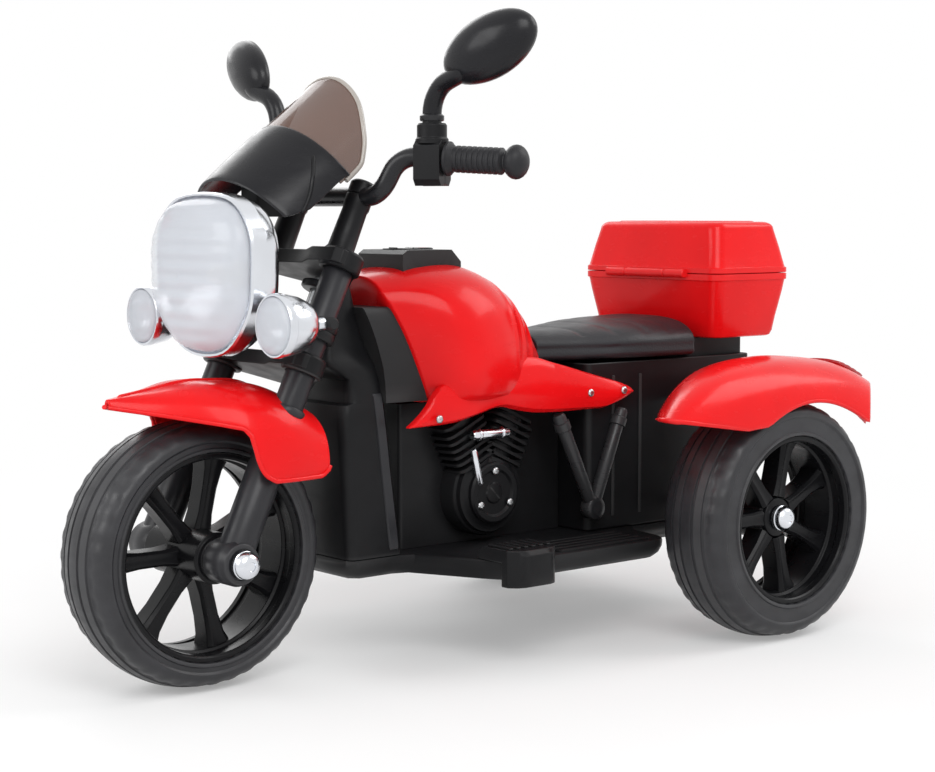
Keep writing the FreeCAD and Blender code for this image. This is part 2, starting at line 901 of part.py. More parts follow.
def make_mirrors(foot, pod):
    """A domed oval housing on a bent stem, with the glass let into its rear face."""
    centre = pod + point(-S.mirror_set_back, S.mirror_out, S.mirror_rise)
    wide, tall, deep = S.mirror_half_width, S.mirror_half_height, S.mirror_bulge
    stretch = FreeCAD.Matrix()
    stretch.scale(float(deep), float(wide), float(tall))
    ahead = Vector(1, 0, 0)
    rear = -S.mirror_back / deep
    dome = Part.makeSphere(1, Vector(), ahead, float(arcsine(rear)), 90, 360)
    rim = 1 - S.mirror_lip / tall
    recess = Part.makeCylinder(float(rim), float(S.mirror_glass / deep), point(rear, 0, 0), ahead)
    turn = Rotation(Vector(0, 0, 1), float(S.mirror_yaw)) * Rotation(ahead, float(S.mirror_tilt))
    tilt = Placement(centre, turn).toMatrix()
    housing = dome.cut(recess).transformGeometry(tilt * stretch)
    bend_low = foot + point(0, 0, S.mirror_stem_straight)
    buried = S.mirror_stem_radius * 1.4
    bend_high = centre + turn.multVec(point(buried, -wide * 0.48, -tall * 0.3))
    inside = centre + turn.multVec(point(buried, -wide * 0.1, 0))
    corners = [foot, bend_low, bend_high, inside]
    stem = bent_tube(corners, float(S.mirror_stem_radius), float(S.mirror_stem_bend))
    left = keep("mirror_left", solid("mirror_left", housing.fuse(stem)))
    keep("mirror_right", mirrored("mirror_right", left))
    pane = Part.makeCylinder(float(rim - S.fit_gap / tall), float((S.mirror_glass - S.fit_gap) / deep),
                             point(rear, 0, 0), ahead)
    left_glass = keep("mirror_glass_left", solid("mirror_glass_left", pane.transformGeometry(tilt * stretch)))
    keep("mirror_glass_right", mirrored("mirror_glass_right", left_glass))


# Lamps

HEADLIGHT_SHAPE = [(0.5, 0.97), (0.94, 0.6), (1.0, 0.05), (0.9, -0.48), (0.4, -0.96)]


def headlight_wire(x, middle_z, inset, share):
    """The headlight's shield outline at one depth."""
    wide = float(S.headlight_half_width) * share - inset
    tall = float(S.headlight_half_height) * share - inset
    right = [Vector(x, wide * across, middle_z + tall * upward) for across, upward in HEADLIGHT_SHAPE]
    left = [Vector(at.x, -at.y, at.z) for at in reversed(right)]
    return smooth_wire(right + left)


def lamp_bar_place():
    """The cross bar that carries the lamps, just ahead of the fork tubes."""
    ahead = S.fork_tube_radius + S.collar_wall + S.lamp_bar_radius - S.lamp_bar_bite
    x, _, z = steer(ahead, dim(0), S.lamp_bar_height)
    return x, z


def make_lamps():
    bar_x, bar_z = lamp_bar_place()
    reach = S.side_lamp_out + S.side_lamp_stalk_radius + S.lamp_bar_overhang
    bar = cylinder("lamp_cross_bar", S.lamp_bar_radius, 2 * reach, (bar_x, -reach, bar_z), "Y")
    collars = []
    holes = []
    collar_low = S.lamp_bar_height - S.collar_height / 2
    for side in (1, -1):
        at = steer(dim(0), side * S.fork_spread, collar_low)
        collars.append(cylinder("collar", S.fork_tube_radius + S.collar_wall, S.collar_height, at, "rake"))
        low = steer(dim(0), side * S.fork_spread, collar_low - S.collar_height)
        bore = S.fork_tube_radius + S.fit_gap
        holes.append(cylinder("collar_hole", bore, 3 * S.collar_height, low, "rake"))
    keep("lamp_bar", cut("lamp_bar", fuse("lamp_mount", bar, *collars), *holes))
    make_headlight(float(bar_x), float(bar_z))
    make_side_lamps(bar_x, bar_z)


def make_headlight(bar_x, bar_z):
    centre_x = bar_x + float(S.headlight_reach)
    centre_z = bar_z + float(S.headlight_rise)
    back = centre_x - float(S.headlight_back)
    middle = centre_x - float(S.headlight_back) * 0.45
    front = centre_x + float(S.headlight_front)
    wall = float(S.headlight_wall)
    seat = front - float(S.lens_seat)
    outer = Part.makeLoft([
        headlight_wire(back, centre_z, 0, 0.62), headlight_wire(middle, centre_z, 0, 0.92),
        headlight_wire(front, centre_z, 0, 1.0),
    ], True)
    bowl = Part.makeLoft([
        headlight_wire(back + wall, centre_z, wall, 0.62), headlight_wire(middle, centre_z, wall, 0.92),
        headlight_wire(front + wall, centre_z, wall, 1.0),
    ], True)
    boss_reach = back + 2 * wall - bar_x
    boss_start = Vector(bar_x, 0, bar_z)
    boss = Part.makeCylinder(float(S.headlight_boss_radius), boss_reach, boss_start, Vector(1, 0, 0))
    half = float(S.headlight_half_width)
    bar_start = Vector(bar_x, -half, bar_z)
    bar_room = Part.makeCylinder(float(S.lamp_bar_radius + S.fit_gap), 2 * half, bar_start, Vector(0, 1, 0))
    forms["headlight"] = outer
    shell = outer.fuse(boss.cut(bar_room)).cut(bowl)
    keep("headlight_shell", solid("headlight_shell", shell))
    inset = wall + float(S.fit_gap)
    lens = Part.makeLoft([
        headlight_wire(seat, centre_z, inset, 1.0), headlight_wire(front, centre_z, inset, 1.0),
        headlight_wire(front + float(S.lens_bulge) * 0.6, centre_z, inset, 0.86),
        headlight_wire(front + float(S.lens_bulge), centre_z, inset, 0.5),
    ], True)
    keep("headlight_lens", solid("headlight_lens", lens))


def make_side_lamps(bar_x, bar_z):
    radius = S.side_lamp_radius
    inner = radius - S.side_lamp_wall
    throat = S.side_lamp_stalk_radius
    rim = S.side_lamp_rim
    stalk_end = -S.side_lamp_reach + S.lamp_bar_radius + S.fit_gap
    bowl_end = -S.side_lamp_bowl
    cup = turned("side_lamp_left", [
        (dim(0), stalk_end), (throat, stalk_end), (throat, bowl_end), Via((radius * 0.8, bowl_end * 0.6)),
        (radius, dim(0)), (radius, rim), (inner, rim), (inner, dim(0)),
        Via((inner * 0.72, bowl_end * 0.45)), (dim(0), bowl_end + S.side_lamp_wall * 2),
    ])
    at = (bar_x + S.side_lamp_reach, S.side_lamp_out, bar_z)
    left = keep("side_lamp_left", place(cup, at, "X"))
    keep("side_lamp_right", mirrored("side_lamp_right", left))
    edge = inner - S.fit_gap
    lens = turned("side_lens_left", [
        (dim(0), rim / 2), (edge, rim / 2), (edge, rim), Via((edge * 0.6, rim * 1.5)),
        (edge * 0.1, rim * 1.75), (dim(0), rim * 1.75),
    ])
    place(lens, at, "X")
    keep("side_lamp_lenses", group("side_lamp_lenses", lens, mirrored("side_lens_right", lens)))


# Windshield

def screen_sheet(outer_radius, thickness, frame):
    """A slice of a long upright tube, its front line on the screen's slope."""
    radius = float(outer_radius)
    length = float(S.screen_length) * 2
    foot = Vector(-float(S.screen_radius), 0, -length / 4)
    tube = Part.makeCylinder(radius, length, foot)
    core = Part.makeCylinder(radius - float(thickness), length, foot)
    sheet_part = tube.cut(core)
    sheet_part.Placement = frame
    return sheet_part


def screen_stencil(corners, crown, frame):
    """A prism along the screen's normal, from half an outline of width and height with an arched top."""
    half = [Vector(0, float(across), float(up)) for across, up in corners]
    other = [Vector(0, -at.y, at.z) for at in reversed(half)]
    edges = [Part.LineSegment(a, b).toShape() for a, b in zip(half, half[1:])]
    edges.append(Part.Arc(half[-1], Vector(0, 0, float(crown)), other[0]).toShape())
    edges += [Part.LineSegment(a, b).toShape() for a, b in zip(other, other[1:])]
    edges.append(Part.LineSegment(other[-1], half[0]).toShape())
    reach = float(S.screen_radius)
    stencil = Part.Face(Part.Wire(edges)).extrude(Vector(2 * reach, 0, 0))
    stencil.translate(Vector(-reach, 0, 0))
    stencil.Placement = frame.multiply(stencil.Placement)
    return stencil


def make_windshield():
    """The black cowl over the headlight and the smoked screen tucked behind it."""
    bar_x, bar_z = lamp_bar_place()
    foot_x = bar_x + S.headlight_reach + S.screen_ahead
    foot_z = bar_z + S.headlight_rise + S.headlight_half_height + S.screen_lift
    frame = Placement(point(foot_x, 0, foot_z), Rotation(Vector(0, 1, 0), float(S.screen_slope) - 90))
    wide = S.screen_half_width
    long = S.screen_length
    thin = S.screen_thickness
    upper = [
        (wide, S.cowl_length - S.screen_tuck), (wide, long * 0.58),
        (wide * 0.93, long * 0.72), (wide * 0.68, long * 0.9),
    ]
    screen = screen_sheet(S.screen_radius, thin, frame).common(screen_stencil(upper, long, frame))
    keep("windshield", solid("windshield", screen))
    outer = S.screen_radius + thin + S.fit_gap
    lower = [(wide * 0.96, dim(0)), (wide * 1.03, S.cowl_length * 0.3), (wide * 1.03, S.cowl_length)]
    skin = screen_sheet(outer, thin, frame).common(screen_stencil(lower, S.cowl_length + S.cowl_arch, frame))
    tab_half = float(S.screen_tab_half)
    tab_depth = float(S.headlight_half_height) / 2
    corner = point(foot_x - tab_depth * 1.2, -tab_half, foot_z - tab_depth)
    tab = Part.makeBox(tab_depth, 2 * tab_half, 2 * tab_depth, corner)
    foot = Vector(-float(S.screen_radius), 0, -float(long))
    core = Part.makeCylinder(float(outer - thin / 2), 2 * float(long), foot)
    core.Placement = frame
    tab = tab.common(core).cut(forms["headlight"])
    keep("windshield_cowl", solid("windshield_cowl", skin.fuse(tab)))


# Front fender

def make_front_fender():
    wide = S.fender_half_width
    tip = S.fender_tip_ahead
    tail = S.fender_tail_behind
    stations = [
        (tip, wide * 0.08, S.fender_tip_rise),
        (tip * 0.55, wide * 0.44, (S.fender_tip_rise + S.fender_rise) / 2),
        (tip * 0.12, wide * 0.78, S.fender_rise),
        (tip * -0.18, wide * 0.97, S.fender_rise),
        (tail * -0.55, wide, S.fender_rise - S.fender_wall),
        (-tail, wide * 0.92, S.fender_tail_rise),
    ]
    floor = axle_z + S.fender_floor
    outer = []
    inner = []
    for ahead, half, rise in stations:
        outer.append(oval_section(front_x + ahead, half, floor, axle_z + rise, 3))
        under = axle_z + rise - S.fender_wall
        inner.append(oval_section(front_x + ahead, half - S.fender_wall, floor - S.fender_floor, under, 3))
    shell = Part.makeLoft(outer, True).cut(Part.makeLoft(inner, True))
    high = 2 * S.fender_rise
    skirt = S.fender_skirt_ahead
    slope = S.fender_skirt_slope
    corner = S.fender_corner
    trim = S.fender_trim
    keep_zone = prism([(front_x + ahead, axle_z + rise) for ahead, rise in [
        (tip + trim, S.fender_tip_rise - slope), (tip * 0.12, S.fender_edge_rise + trim),
        (skirt, S.fender_edge_rise), (skirt - slope, S.fender_skirt_rise + corner),
        (skirt - slope - corner, S.fender_skirt_rise), (corner / 2 - tail, S.fender_skirt_rise),
        (-trim - tail, S.fender_skirt_rise + corner), (-trim - tail, high), (tip + trim, high),
    ]], -wide - trim, wide + trim)
    shell = shell.common(keep_zone)
    for side in (1, -1):
        low = point(*steer(dim(0), side * S.fork_spread, dim(0)))
        join = point(*steer(dim(0), side * S.fork_spread, S.fork_slider_length + S.side_gap))
        along = join - low
        slider_room = float(S.fork_slider_radius + S.side_gap)
        tube_room = float(S.fork_tube_radius + S.fit_gap)
        shell = shell.cut(Part.makeCylinder(slider_room, along.Length, low, along))
        shell = shell.cut(Part.makeCylinder(tube_room, along.Length, join, along))
    keep("front_fender", solid("front_fender", shell))


# Floor, leg shield and pedal

def vertical_edges(shape, chosen):
    """Names of the upright edges that a test picks by their middle."""
    names = []
    for number, edge in enumerate(shape.Edges, start=1):
        low, high = edge.BoundBox.ZMin, edge.BoundBox.ZMax
        upright = edge.BoundBox.XLength < 1e-3 and edge.BoundBox.YLength < 1e-3 and high - low > 1e-3
        if upright and chosen(edge.CenterOfMass):
            names.append(f"Edge{number}")
    return names


def make_floor():
    half = [
        (front_x - S.shield_setback_low, S.shield_half_width),
        (front_x - S.board_start + S.board_nose_slant, S.shield_half_width),
        (front_x - S.board_start, S.board_half_width),
        (rear_x + S.board_end_ahead, S.board_half_width),
        (rear_x + S.board_end_ahead - S.board_tail_slant, S.frame_half_width),
        (rear_x - S.frame_behind, S.frame_half_width),
    ]
    body = padded("pan", "XY_Plane", S.deck_thickness, mirror_outline(half), False)
    place(body, (0, 0, S.deck_height))
    doc.recompute()
    plain = body.Tip
    edge_y = float(S.board_half_width - S.root_depth)
    fillet = body.newObject("PartDesign::Fillet", "pan_corners")
    fillet.Base = (plain, vertical_edges(plain.Shape, lambda at: abs(at.y) > edge_y))
    bind(fillet, Radius=S.board_corner)
    hinge_x, hinge_z = pedal_hinge()
    ears = []
    for near in (S.pedal_inner - S.pedal_ear - S.side_gap, S.pedal_inner + S.pedal_width + S.side_gap):
        at = (hinge_x - 2 * S.pedal_pin_radius, -near - S.pedal_ear, deck_top - S.root_depth)
        ears.append(block("pedal_ear", 4 * S.pedal_pin_radius, S.pedal_ear,
                          S.pedal_lift + 2 * S.pedal_pin_radius + S.root_depth, at))
    pads = []
    for near in (S.foot_pad_inner, -S.foot_pad_inner - S.foot_pad_width):
        at = (front_x - S.foot_pad_setback - S.foot_pad_length, near, deck_top - S.root_depth)
        thick = S.foot_pad_rise + S.root_depth
        pads.append(block("foot_pad", S.foot_pad_length, S.foot_pad_width, thick, at))
    hole = cylinder("pedal_pin_hole", S.pedal_pin_radius + S.running_gap, S.pedal_width + 4 * S.pedal_ear,
                    (hinge_x, -S.pedal_inner - S.pedal_width - 2 * S.pedal_ear, hinge_z), "Y")
    keep("floor_pan", cut("floor_pan", fuse("pan_and_ears", body, *ears, *pads), hole))
    make_pegs()
    make_pedal()


def make_pegs():
    """Foot pegs that sit on the boards and hook over their outer edge."""
    base = deck_top + S.fit_gap
    side = S.board_half_width + S.fit_gap
    out = S.board_half_width + S.peg_reach
    low = S.deck_height - S.peg_drop
    top = base + S.peg_rise
    corner = S.peg_corner
    body = padded("peg_left", "YZ_Plane", S.peg_length, [
        (S.peg_inner, base), (side, base), (side, low), (out - corner, low), (out, low + corner),
        (out, top - corner), (out - corner, top), (S.peg_inner + corner, top),
    ])
    middle = front_x - S.peg_start - S.peg_length / 2
    place(body, (middle, 0, 0))
    ends = []
    for end in (1, -1):
        nose = end * (S.peg_length / 2 + S.fit_gap)
        wedge = padded("peg_end", "XY_Plane", 4 * S.peg_length, [
            (nose, out - S.peg_bevel), (nose, out + S.fit_gap), (nose - end * S.peg_bevel, out + S.fit_gap),
        ])
        ends.append(place(wedge, (middle, 0, deck_top)))
    left = cut("peg_left_bevelled", body, *ends)
    keep("foot_pegs", group("foot_pegs", left, mirrored("peg_right", left)))


def pedal_hinge():
    return front_x - S.pedal_hinge_setback, deck_top + S.pedal_lift


def make_pedal():
    """The accelerator: a plate on a cross pin at its heel end, toe end raised."""
    hinge_x, hinge_z = pedal_hinge()
    half = S.pedal_thickness / 2
    heel = 2 * S.pedal_pin_radius
    plate = padded("pedal_plate", "XZ_Plane", S.pedal_width, [
        (-heel / 2, -half), (S.pedal_length - S.pedal_nose, -half), (S.pedal_length, dim(0)),
        (S.pedal_length - S.pedal_nose / 2, half), (-heel / 2, half),
    ])
    middle = S.pedal_inner + S.pedal_width / 2
    place(plate, (hinge_x, -middle, hinge_z), Rotation(Vector(0, 1, 0), -float(S.pedal_pitch)))
    reach = S.pedal_width + 2 * S.side_gap + 2 * S.pedal_ear - S.root_depth
    pin = cylinder("pedal_pin", S.pedal_pin_radius, reach, (hinge_x, -middle - reach / 2, hinge_z), "Y")
    keep("pedal", fuse("pedal", plate, pin))


def make_shield():
    """The leg shield: an upright column from the floor to the head tube that the stem turns in."""
    back = S.stem_offset + S.shield_yoke_room
    over_yoke = S.lower_yoke_height + S.yoke_thickness + S.shield_yoke_gap
    under_yoke = S.upper_yoke_height - S.shield_yoke_gap
    base = deck_top + S.fit_gap
    corners = [
        steer(-back, dim(0), S.lower_yoke_height - S.shield_step), steer(-back, dim(0), over_yoke),
        steer(-S.stem_offset, dim(0), over_yoke), steer(-S.stem_offset, dim(0), under_yoke),
        steer(-S.stem_offset - S.shield_head_depth, dim(0), under_yoke),
    ]
    rear_low = front_x - S.shield_setback_low - S.shield_depth
    rear_high = front_x - S.shield_setback_high - S.shield_depth + S.shield_lean
    outline = [(front_x - S.shield_setback_low, base)] + [(x, z) for x, _, z in corners]
    outline += [(rear_high, S.tank_bottom + S.shield_shoulder), (rear_low, base)]
    column = padded("shield_column", "XZ_Plane", 2 * S.shield_half_width, outline)
    low = S.lower_yoke_height + S.yoke_thickness + S.side_gap
    high = S.upper_yoke_height - S.side_gap
    head = cylinder("head_tube", S.head_tube_radius, high - low, steer(-S.stem_offset, dim(0), low), "rake")
    bore = cylinder("head_bore", S.stem_radius + S.running_gap, 2 * (high - low),
                    steer(-S.stem_offset, dim(0), low - (high - low) / 2), "rake")
    top_rear = steer(-S.stem_offset - S.shield_head_depth - S.saddle_top_reach, dim(0), under_yoke)
    saddle = tank_saddle(rear_high + S.root_depth, corners[-1], top_rear)
    keep("front_cowl", cut("front_cowl", fuse("shield_and_head", column, head, saddle), bore))


def tank_saddle(ahead, neck, top_rear):
    """The shield's shoulder, which fills the room in front of the tank's raked nose."""
    nose = front_x - S.tank_setback
    _, half, drop = TANK_STATIONS[0]
    ring = oval_section(nose - S.tank_rake, S.tank_half_width * half - S.saddle_inset,
                        S.tank_bottom - S.tank_hidden, S.tank_top - drop - S.saddle_inset)
    plug = Part.Face(ring).extrude(point(S.tank_rake + S.shield_depth, 0, 0))
    low = S.tank_bottom + S.saddle_lift
    window = prism([
        (nose - S.tank_rake, low), (ahead, low), (ahead, S.tank_bottom + S.shield_shoulder),
        (neck[0], neck[2]), (top_rear[0], top_rear[2]),
    ], -S.tank_half_width, S.tank_half_width)
    return solid("tank_saddle", plug.common(window).cut(forms["tank_room"].Shape))


# Engine moulding

def make_engine():
    """One half of the mock twin engine, with finned barrels, and its mirror image."""
    centre_x = front_x - S.crankcase_setback
    centre_z = deck_top + S.crankcase_rise
    inside = S.fit_gap / 2
    spine_back = rear_x + S.frame_ahead + S.fit_gap
    base = deck_top + S.fit_gap
    spine = block("spine", front_x - S.engine_setback - spine_back, S.engine_spine - inside,
                  S.tank_bottom - S.fit_gap - base, (spine_back, inside, base))
    crank = (centre_x, inside, centre_z)
    depth = S.crankcase_half_width - inside
    case = cylinder("crankcase", S.crankcase_radius, depth, crank, "Y")
    cover = cylinder("case_cover", S.cover_radius, depth + S.cover_depth, crank, "Y")
    parts = [spine, case, cover]
    for lean in (S.barrel_angle, -S.barrel_angle):
        turn = Rotation(Vector(0, 1, 0), float(lean))
        length = S.barrel_start + S.fin_pitch * S.fin_count - S.fin_thickness
        parts.append(cylinder("barrel", S.barrel_radius, length, (centre_x, S.barrel_out, centre_z), turn))
        for index in range(round(float(S.fin_count))):
            along = S.barrel_start + index * S.fin_pitch
            at = (centre_x + along * sine(lean), S.barrel_out, centre_z + along * cosine(lean))
            parts.append(cylinder("fin", S.fin_radius, S.fin_thickness, at, turn))
    left = keep("engine_left", fuse("engine_left", *parts))
    keep("engine_right", mirrored("engine_right", left))


# Tank, dash and side panels

TANK_STATIONS = [(0.0, 0.64, 10), (0.24, 1.0, 0), (0.52, 0.99, 0), (0.78, 0.8, 24), (1.0, 0.54, 72)]


def tank_form(inset):
    """The tank as a full solid, drawn in all round by an inset."""
    front = float(front_x - S.tank_setback)
    length = front - float(rear_x + S.tank_end_ahead)
    bottom = float(S.tank_bottom)
    low = bottom - float(S.tank_hidden) + inset
    sections = []
    for share, half, drop in TANK_STATIONS:
        x = front - length * share
        x += -inset if share == 0.0 else inset if share == 1.0 else 0
        half_width = float(S.tank_half_width) * half - inset
        sections.append(oval_section(x, half_width, low, float(S.tank_top) - drop - inset))
    lean = float(S.tank_rake)
    wide = 2 * float(S.tank_half_width)
    nose = front - inset * 1.2
    brow = float(S.tank_top - S.tank_brow)
    chin = prism([
        (nose + lean, brow), (nose, brow), (nose - lean, bottom), (nose - lean * 1.2, bottom - lean),
        (nose + lean, bottom - lean),
    ], -wide, wide)
    return Part.makeLoft(sections, True).cut(all_below(bottom + inset)).cut(chin)


def make_tank():
    full = tank_form(0.0)
    forms["tank_room"] = solid("tank_room", tank_form(-float(S.panel_gap)))
    hollow = tank_form(float(S.tank_wall))
    long, wide = float(S.hatch_length), float(S.hatch_width)
    deep = 2 * float(S.tank_wall)
    corner = Vector(hollow.BoundBox.Center.x - long / 2, -wide / 2, float(S.tank_bottom) - deep)
    hatch = Part.makeBox(long, wide, 2 * deep, corner)
    keep("tank_cover", solid("tank_cover", full.cut(hollow).cut(hatch)))


def make_panels():
    """The red wings below the tank, which run back beside the seat."""
    tip_x = front_x - S.panel_tip_setback
    end_x = rear_x + S.panel_end_ahead
    length = tip_x - end_x
    corner = S.panel_corner
    slope = S.panel_tip_slope
    notch = S.panel_notch
    end_low = panel_top - S.panel_end_depth
    shoulder = panel_top - S.panel_tip_depth + S.panel_tip_rise
    body = padded("panel", "XZ_Plane", S.panel_thickness, [
        (tip_x, panel_top - S.panel_tip_depth), (tip_x - slope, shoulder + corner / 2),
        (tip_x - slope * 1.5, panel_top - corner), (tip_x - length * 0.5, panel_top + S.panel_crest),
        (tip_x - length * 0.8, panel_top - S.panel_fall),
        (end_x + corner / 2, end_low + corner), (end_x, end_low),
        (tip_x - length * 0.85, panel_low), (tip_x - length * 0.62, panel_low),
        (tip_x - length * 0.45, panel_low + notch / 2), (tip_x - length * 0.375, panel_low + notch),
        (tip_x - length * 0.28, panel_low + notch * 0.4), (tip_x - length * 0.18, panel_low - corner / 4),
    ])
    place(body, (0, frame_side + S.panel_thickness / 2, 0))
    left = keep("side_panel_left", cut("side_panel_left", body, forms["tank_room"]))
    keep("side_panel_right", mirrored("side_panel_right", left))


def dash_top():
    return S.tank_top + S.dash_rise


def control_place(share):
    """A place along the dash for a control, as a share of its length."""
    return front_x - S.dash_setback - S.dash_length * share


def make_dash():
    start = front_x - S.dash_setback
    end = start - S.dash_length
    top = dash_top()
    low = S.tank_top - S.dash_root
    plate = padded("dash_plate", "XZ_Plane", 2 * S.dash_half_width, [
        (start, low), (start, top - S.dash_bevel / 3), (start - S.dash_bevel / 2, top),
        (end + S.dash_bevel, top), (end, top - S.dash_bevel), (end, low),
    ])
    slot_length = S.switch_length + 2 * S.switch_clearance
    switch_x = control_place(0.36)
    slot_low = top - S.switch_height - S.switch_clearance
    slot = block("switch_slot", slot_length, S.switch_width + 2 * S.side_gap, S.dash_root,
                 (switch_x - slot_length / 2, -S.switch_width / 2 - S.side_gap, slot_low))
    reach = S.switch_width + 2 * S.switch_pin_reach
    pin_hole = cylinder("switch_pin_hole", S.switch_pin_radius + S.running_gap, reach + 2 * S.root_depth,
                        (switch_x, -reach / 2 - S.root_depth, switch_pivot_z()), "Y")
    button_x = control_place(0.72)
    neck = cylinder("button_hole", S.button_radius + S.side_gap / 2, S.dash_root,
                    (button_x, 0, top - S.button_neck))
    room = cylinder("button_room", S.button_radius + S.button_flange + S.side_gap / 2,
                    S.button_travel + S.button_flange + S.side_gap * 2, (button_x, 0, button_low()))
    keep("dash_panel", cut("dash_panel", plate, forms["tank_room"], slot, pin_hole, neck, room))
    make_controls(switch_x, button_x)


def switch_pivot_z():
    return dash_top() - S.switch_height / 2


def button_low():
    return dash_top() - S.button_neck - S.button_travel - S.button_flange - S.side_gap


def make_controls(switch_x, button_x):
    half = S.switch_length / 2
    deep = S.switch_height / 2
    pivot = switch_pivot_z()
    rocker = padded("rocker", "XZ_Plane", S.switch_width, [
        (-half, deep * 1.5), Via((dim(0), deep * 1.05)), (half, deep * 1.5), (half * 0.86, -deep * 0.5),
        (dim(0), -deep), (half * -0.86, -deep * 0.5),
    ])
    place(rocker, (switch_x, 0, pivot))
    reach = S.switch_width + 2 * S.switch_pin_reach - S.side_gap
    pin = cylinder("switch_pin", S.switch_pin_radius, reach, (switch_x, -reach / 2, pivot), "Y")
    keep("drive_switch", fuse("drive_switch", rocker, pin))
    flange_top = dash_top() - S.button_neck - S.side_gap / 2
    flange = cylinder("button_collar", S.button_radius + S.button_flange, S.button_flange,
                      (button_x, 0, flange_top - S.button_flange))
    cap = cylinder("button_cap", S.button_radius, S.button_neck + S.button_proud,
                   (button_x, 0, flange_top - S.button_flange))
    keep("horn_button", fuse("horn_button", flange, cap))


# Rear frame, seat and drive

def make_rear_frame():
    front = rear_x + S.frame_ahead
    back = rear_x - S.frame_behind
    base = deck_top + S.fit_gap
    half = S.frame_half_width
    wall = S.frame_wall
    tub = block("tub", front - back, 2 * half, S.frame_top - base, (back, -half, base))
    room = block("tub_room", front - back - 2 * wall, 2 * (half - wall), S.frame_top,
                 (back + wall, wall - half, base + wall))
    rack_front = rear_x - S.box_behind - S.rack_front_gap
    rack = block("rack", rack_front - back, 2 * S.rack_half_width, S.rack_height + wall,
                 (back, -S.rack_half_width, S.frame_top - wall))
    parts = [cut("open_tub", tub, room), rack]
    for side in (1, -1):
        beside = side * (half + S.strut_radius * 0.6)
        foot = point(rear_x + S.strut_foot_ahead, beside, deck_top + S.strut_foot_rise)
        for ahead in (S.strut_front_ahead, S.strut_rear_ahead):
            head = point(rear_x + ahead, beside, panel_low - S.strut_gap)
            parts.append(rod("strut", S.strut_radius, foot, head))
    motor_x, motor_z = gear_places()[2]
    axle_hole = cylinder("frame_axle_hole", S.axle_radius + S.fit_gap, 3 * half,
                         (rear_x, -1.5 * half, axle_z), "Y")
    shaft_hole = cylinder("motor_shaft_hole", S.motor_shaft_radius + S.motor_shaft_room, 2 * wall,
                          (motor_x, -half - wall / 2, motor_z), "Y")
    socket = cylinder("charge_socket", S.socket_radius, 3 * wall,
                      (back - wall, half / 2, S.socket_height), "X")
    keep("rear_frame", cut("rear_frame", fuse("frame_body", *parts), axle_hole, shaft_hole, socket))
    battery_x = front - wall - S.fit_gap - S.battery_length
    keep("battery", block("battery", S.battery_length, S.battery_width, S.battery_height,
                          (battery_x, -S.battery_width / 2, base + wall + S.fit_gap)))


def make_seat():
    front = rear_x + S.tank_end_ahead - S.fit_gap
    length = front - rear_x + S.seat_behind
    nose = S.seat_nose_half_width
    wide = S.seat_half_width
    low = S.frame_top - S.seat_hidden
    waist = nose + (wide - nose) * 0.42
    sections = []
    for share, half, drop in [(0.0, nose, 10), (0.28, waist, 8), (0.62, wide * 0.98, 3), (1.0, wide, 0)]:
        sections.append(oval_section(front - length * share, half, low, S.seat_top - drop, 3))
    cushion = Part.makeLoft(sections, True)
    keep("seat", solid("seat", cushion.cut(all_below(S.frame_top + S.fit_gap))))


# Rear fenders and tail lamps

MUDGUARD_OUTSIDE = [(0.0, 26), (0.16, 17), (0.38, 6), (0.62, 0), (0.8, 4), (0.92, 18), (0.98, 38), (1.0, 64)]
MUDGUARD_STATIONS = [
    (0.93, 60), (0.83, 40), (0.72, 25), (0.57, 12), (0.38, 4),
    (0.15, 0), (-0.12, 0), (-0.52, 10), (-0.8, 34), (-0.92, 60), (-1.02, 96),
]


def mudguard_points(share, drop, inset=0.0):
    """One upright section of a fender's outside, set askew in plan; an inset draws it in."""
    reach = S.mudguard_tip_ahead if share > 0 else S.mudguard_tail_behind
    x = rear_x + reach * share
    span = half_track + S.mudguard_lip_out - frame_side
    top = 2 * S.tyre_radius + S.mudguard_rise - drop
    sweep = S.mudguard_sweep * (share + 1.02) / 1.95
    points = []
    for across, fall in MUDGUARD_OUTSIDE:
        steep = max(0.0, (across - 0.62) / 0.38)
        out = span * across - inset * steep
        lean = 1 - out / (half_track - frame_side)
        points.append(point(x - sweep * lean, frame_side + out, top - fall - inset * (1 - steep * 0.9)))
    return points


def mudguard_loft(inset):
    """The solid between a fender's outside and the same surface drawn in by an inset."""
    sections = []
    for share, drop in MUDGUARD_STATIONS:
        upper = mudguard_points(share, drop)
        lower = mudguard_points(share, drop, inset)
        edges = [open_curve(upper), Part.LineSegment(upper[-1], lower[-1]).toShape()]
        edges += [open_curve(lower), Part.LineSegment(lower[0], upper[0]).toShape()]
        sections.append(Part.Wire(Part.__sortEdges__(edges)))
    return Part.makeLoft(sections, True)


def mudguard_skirt():
    """The room below the fender's outer edge, arched over the wheel."""
    low = S.mudguard_low
    ahead = rear_x + S.arch_half_width * 0.75
    behind = rear_x - S.arch_half_width * 1.25
    start = point(ahead, half_track, low)
    crown = point(rear_x - S.arch_half_width * 0.2, half_track, low + S.arch_rise)
    stop = point(behind, half_track, low)
    front = rear_x + S.mudguard_tip_ahead
    back = rear_x - S.mudguard_tail_behind
    corners = [stop, point(back, half_track, low - S.mudguard_tail_drop), point(back, half_track, 0)]
    corners += [point(front, half_track, 0), point(front, half_track, low + S.mudguard_nose_lift), start]
    edges = [Part.Arc(start, crown, stop).toShape()]
    edges += [Part.LineSegment(a, b).toShape() for a, b in zip(corners, corners[1:])]
    return Part.Face(Part.Wire(edges)).extrude(Vector(0, 2 * float(S.mudguard_lip_out), 0))


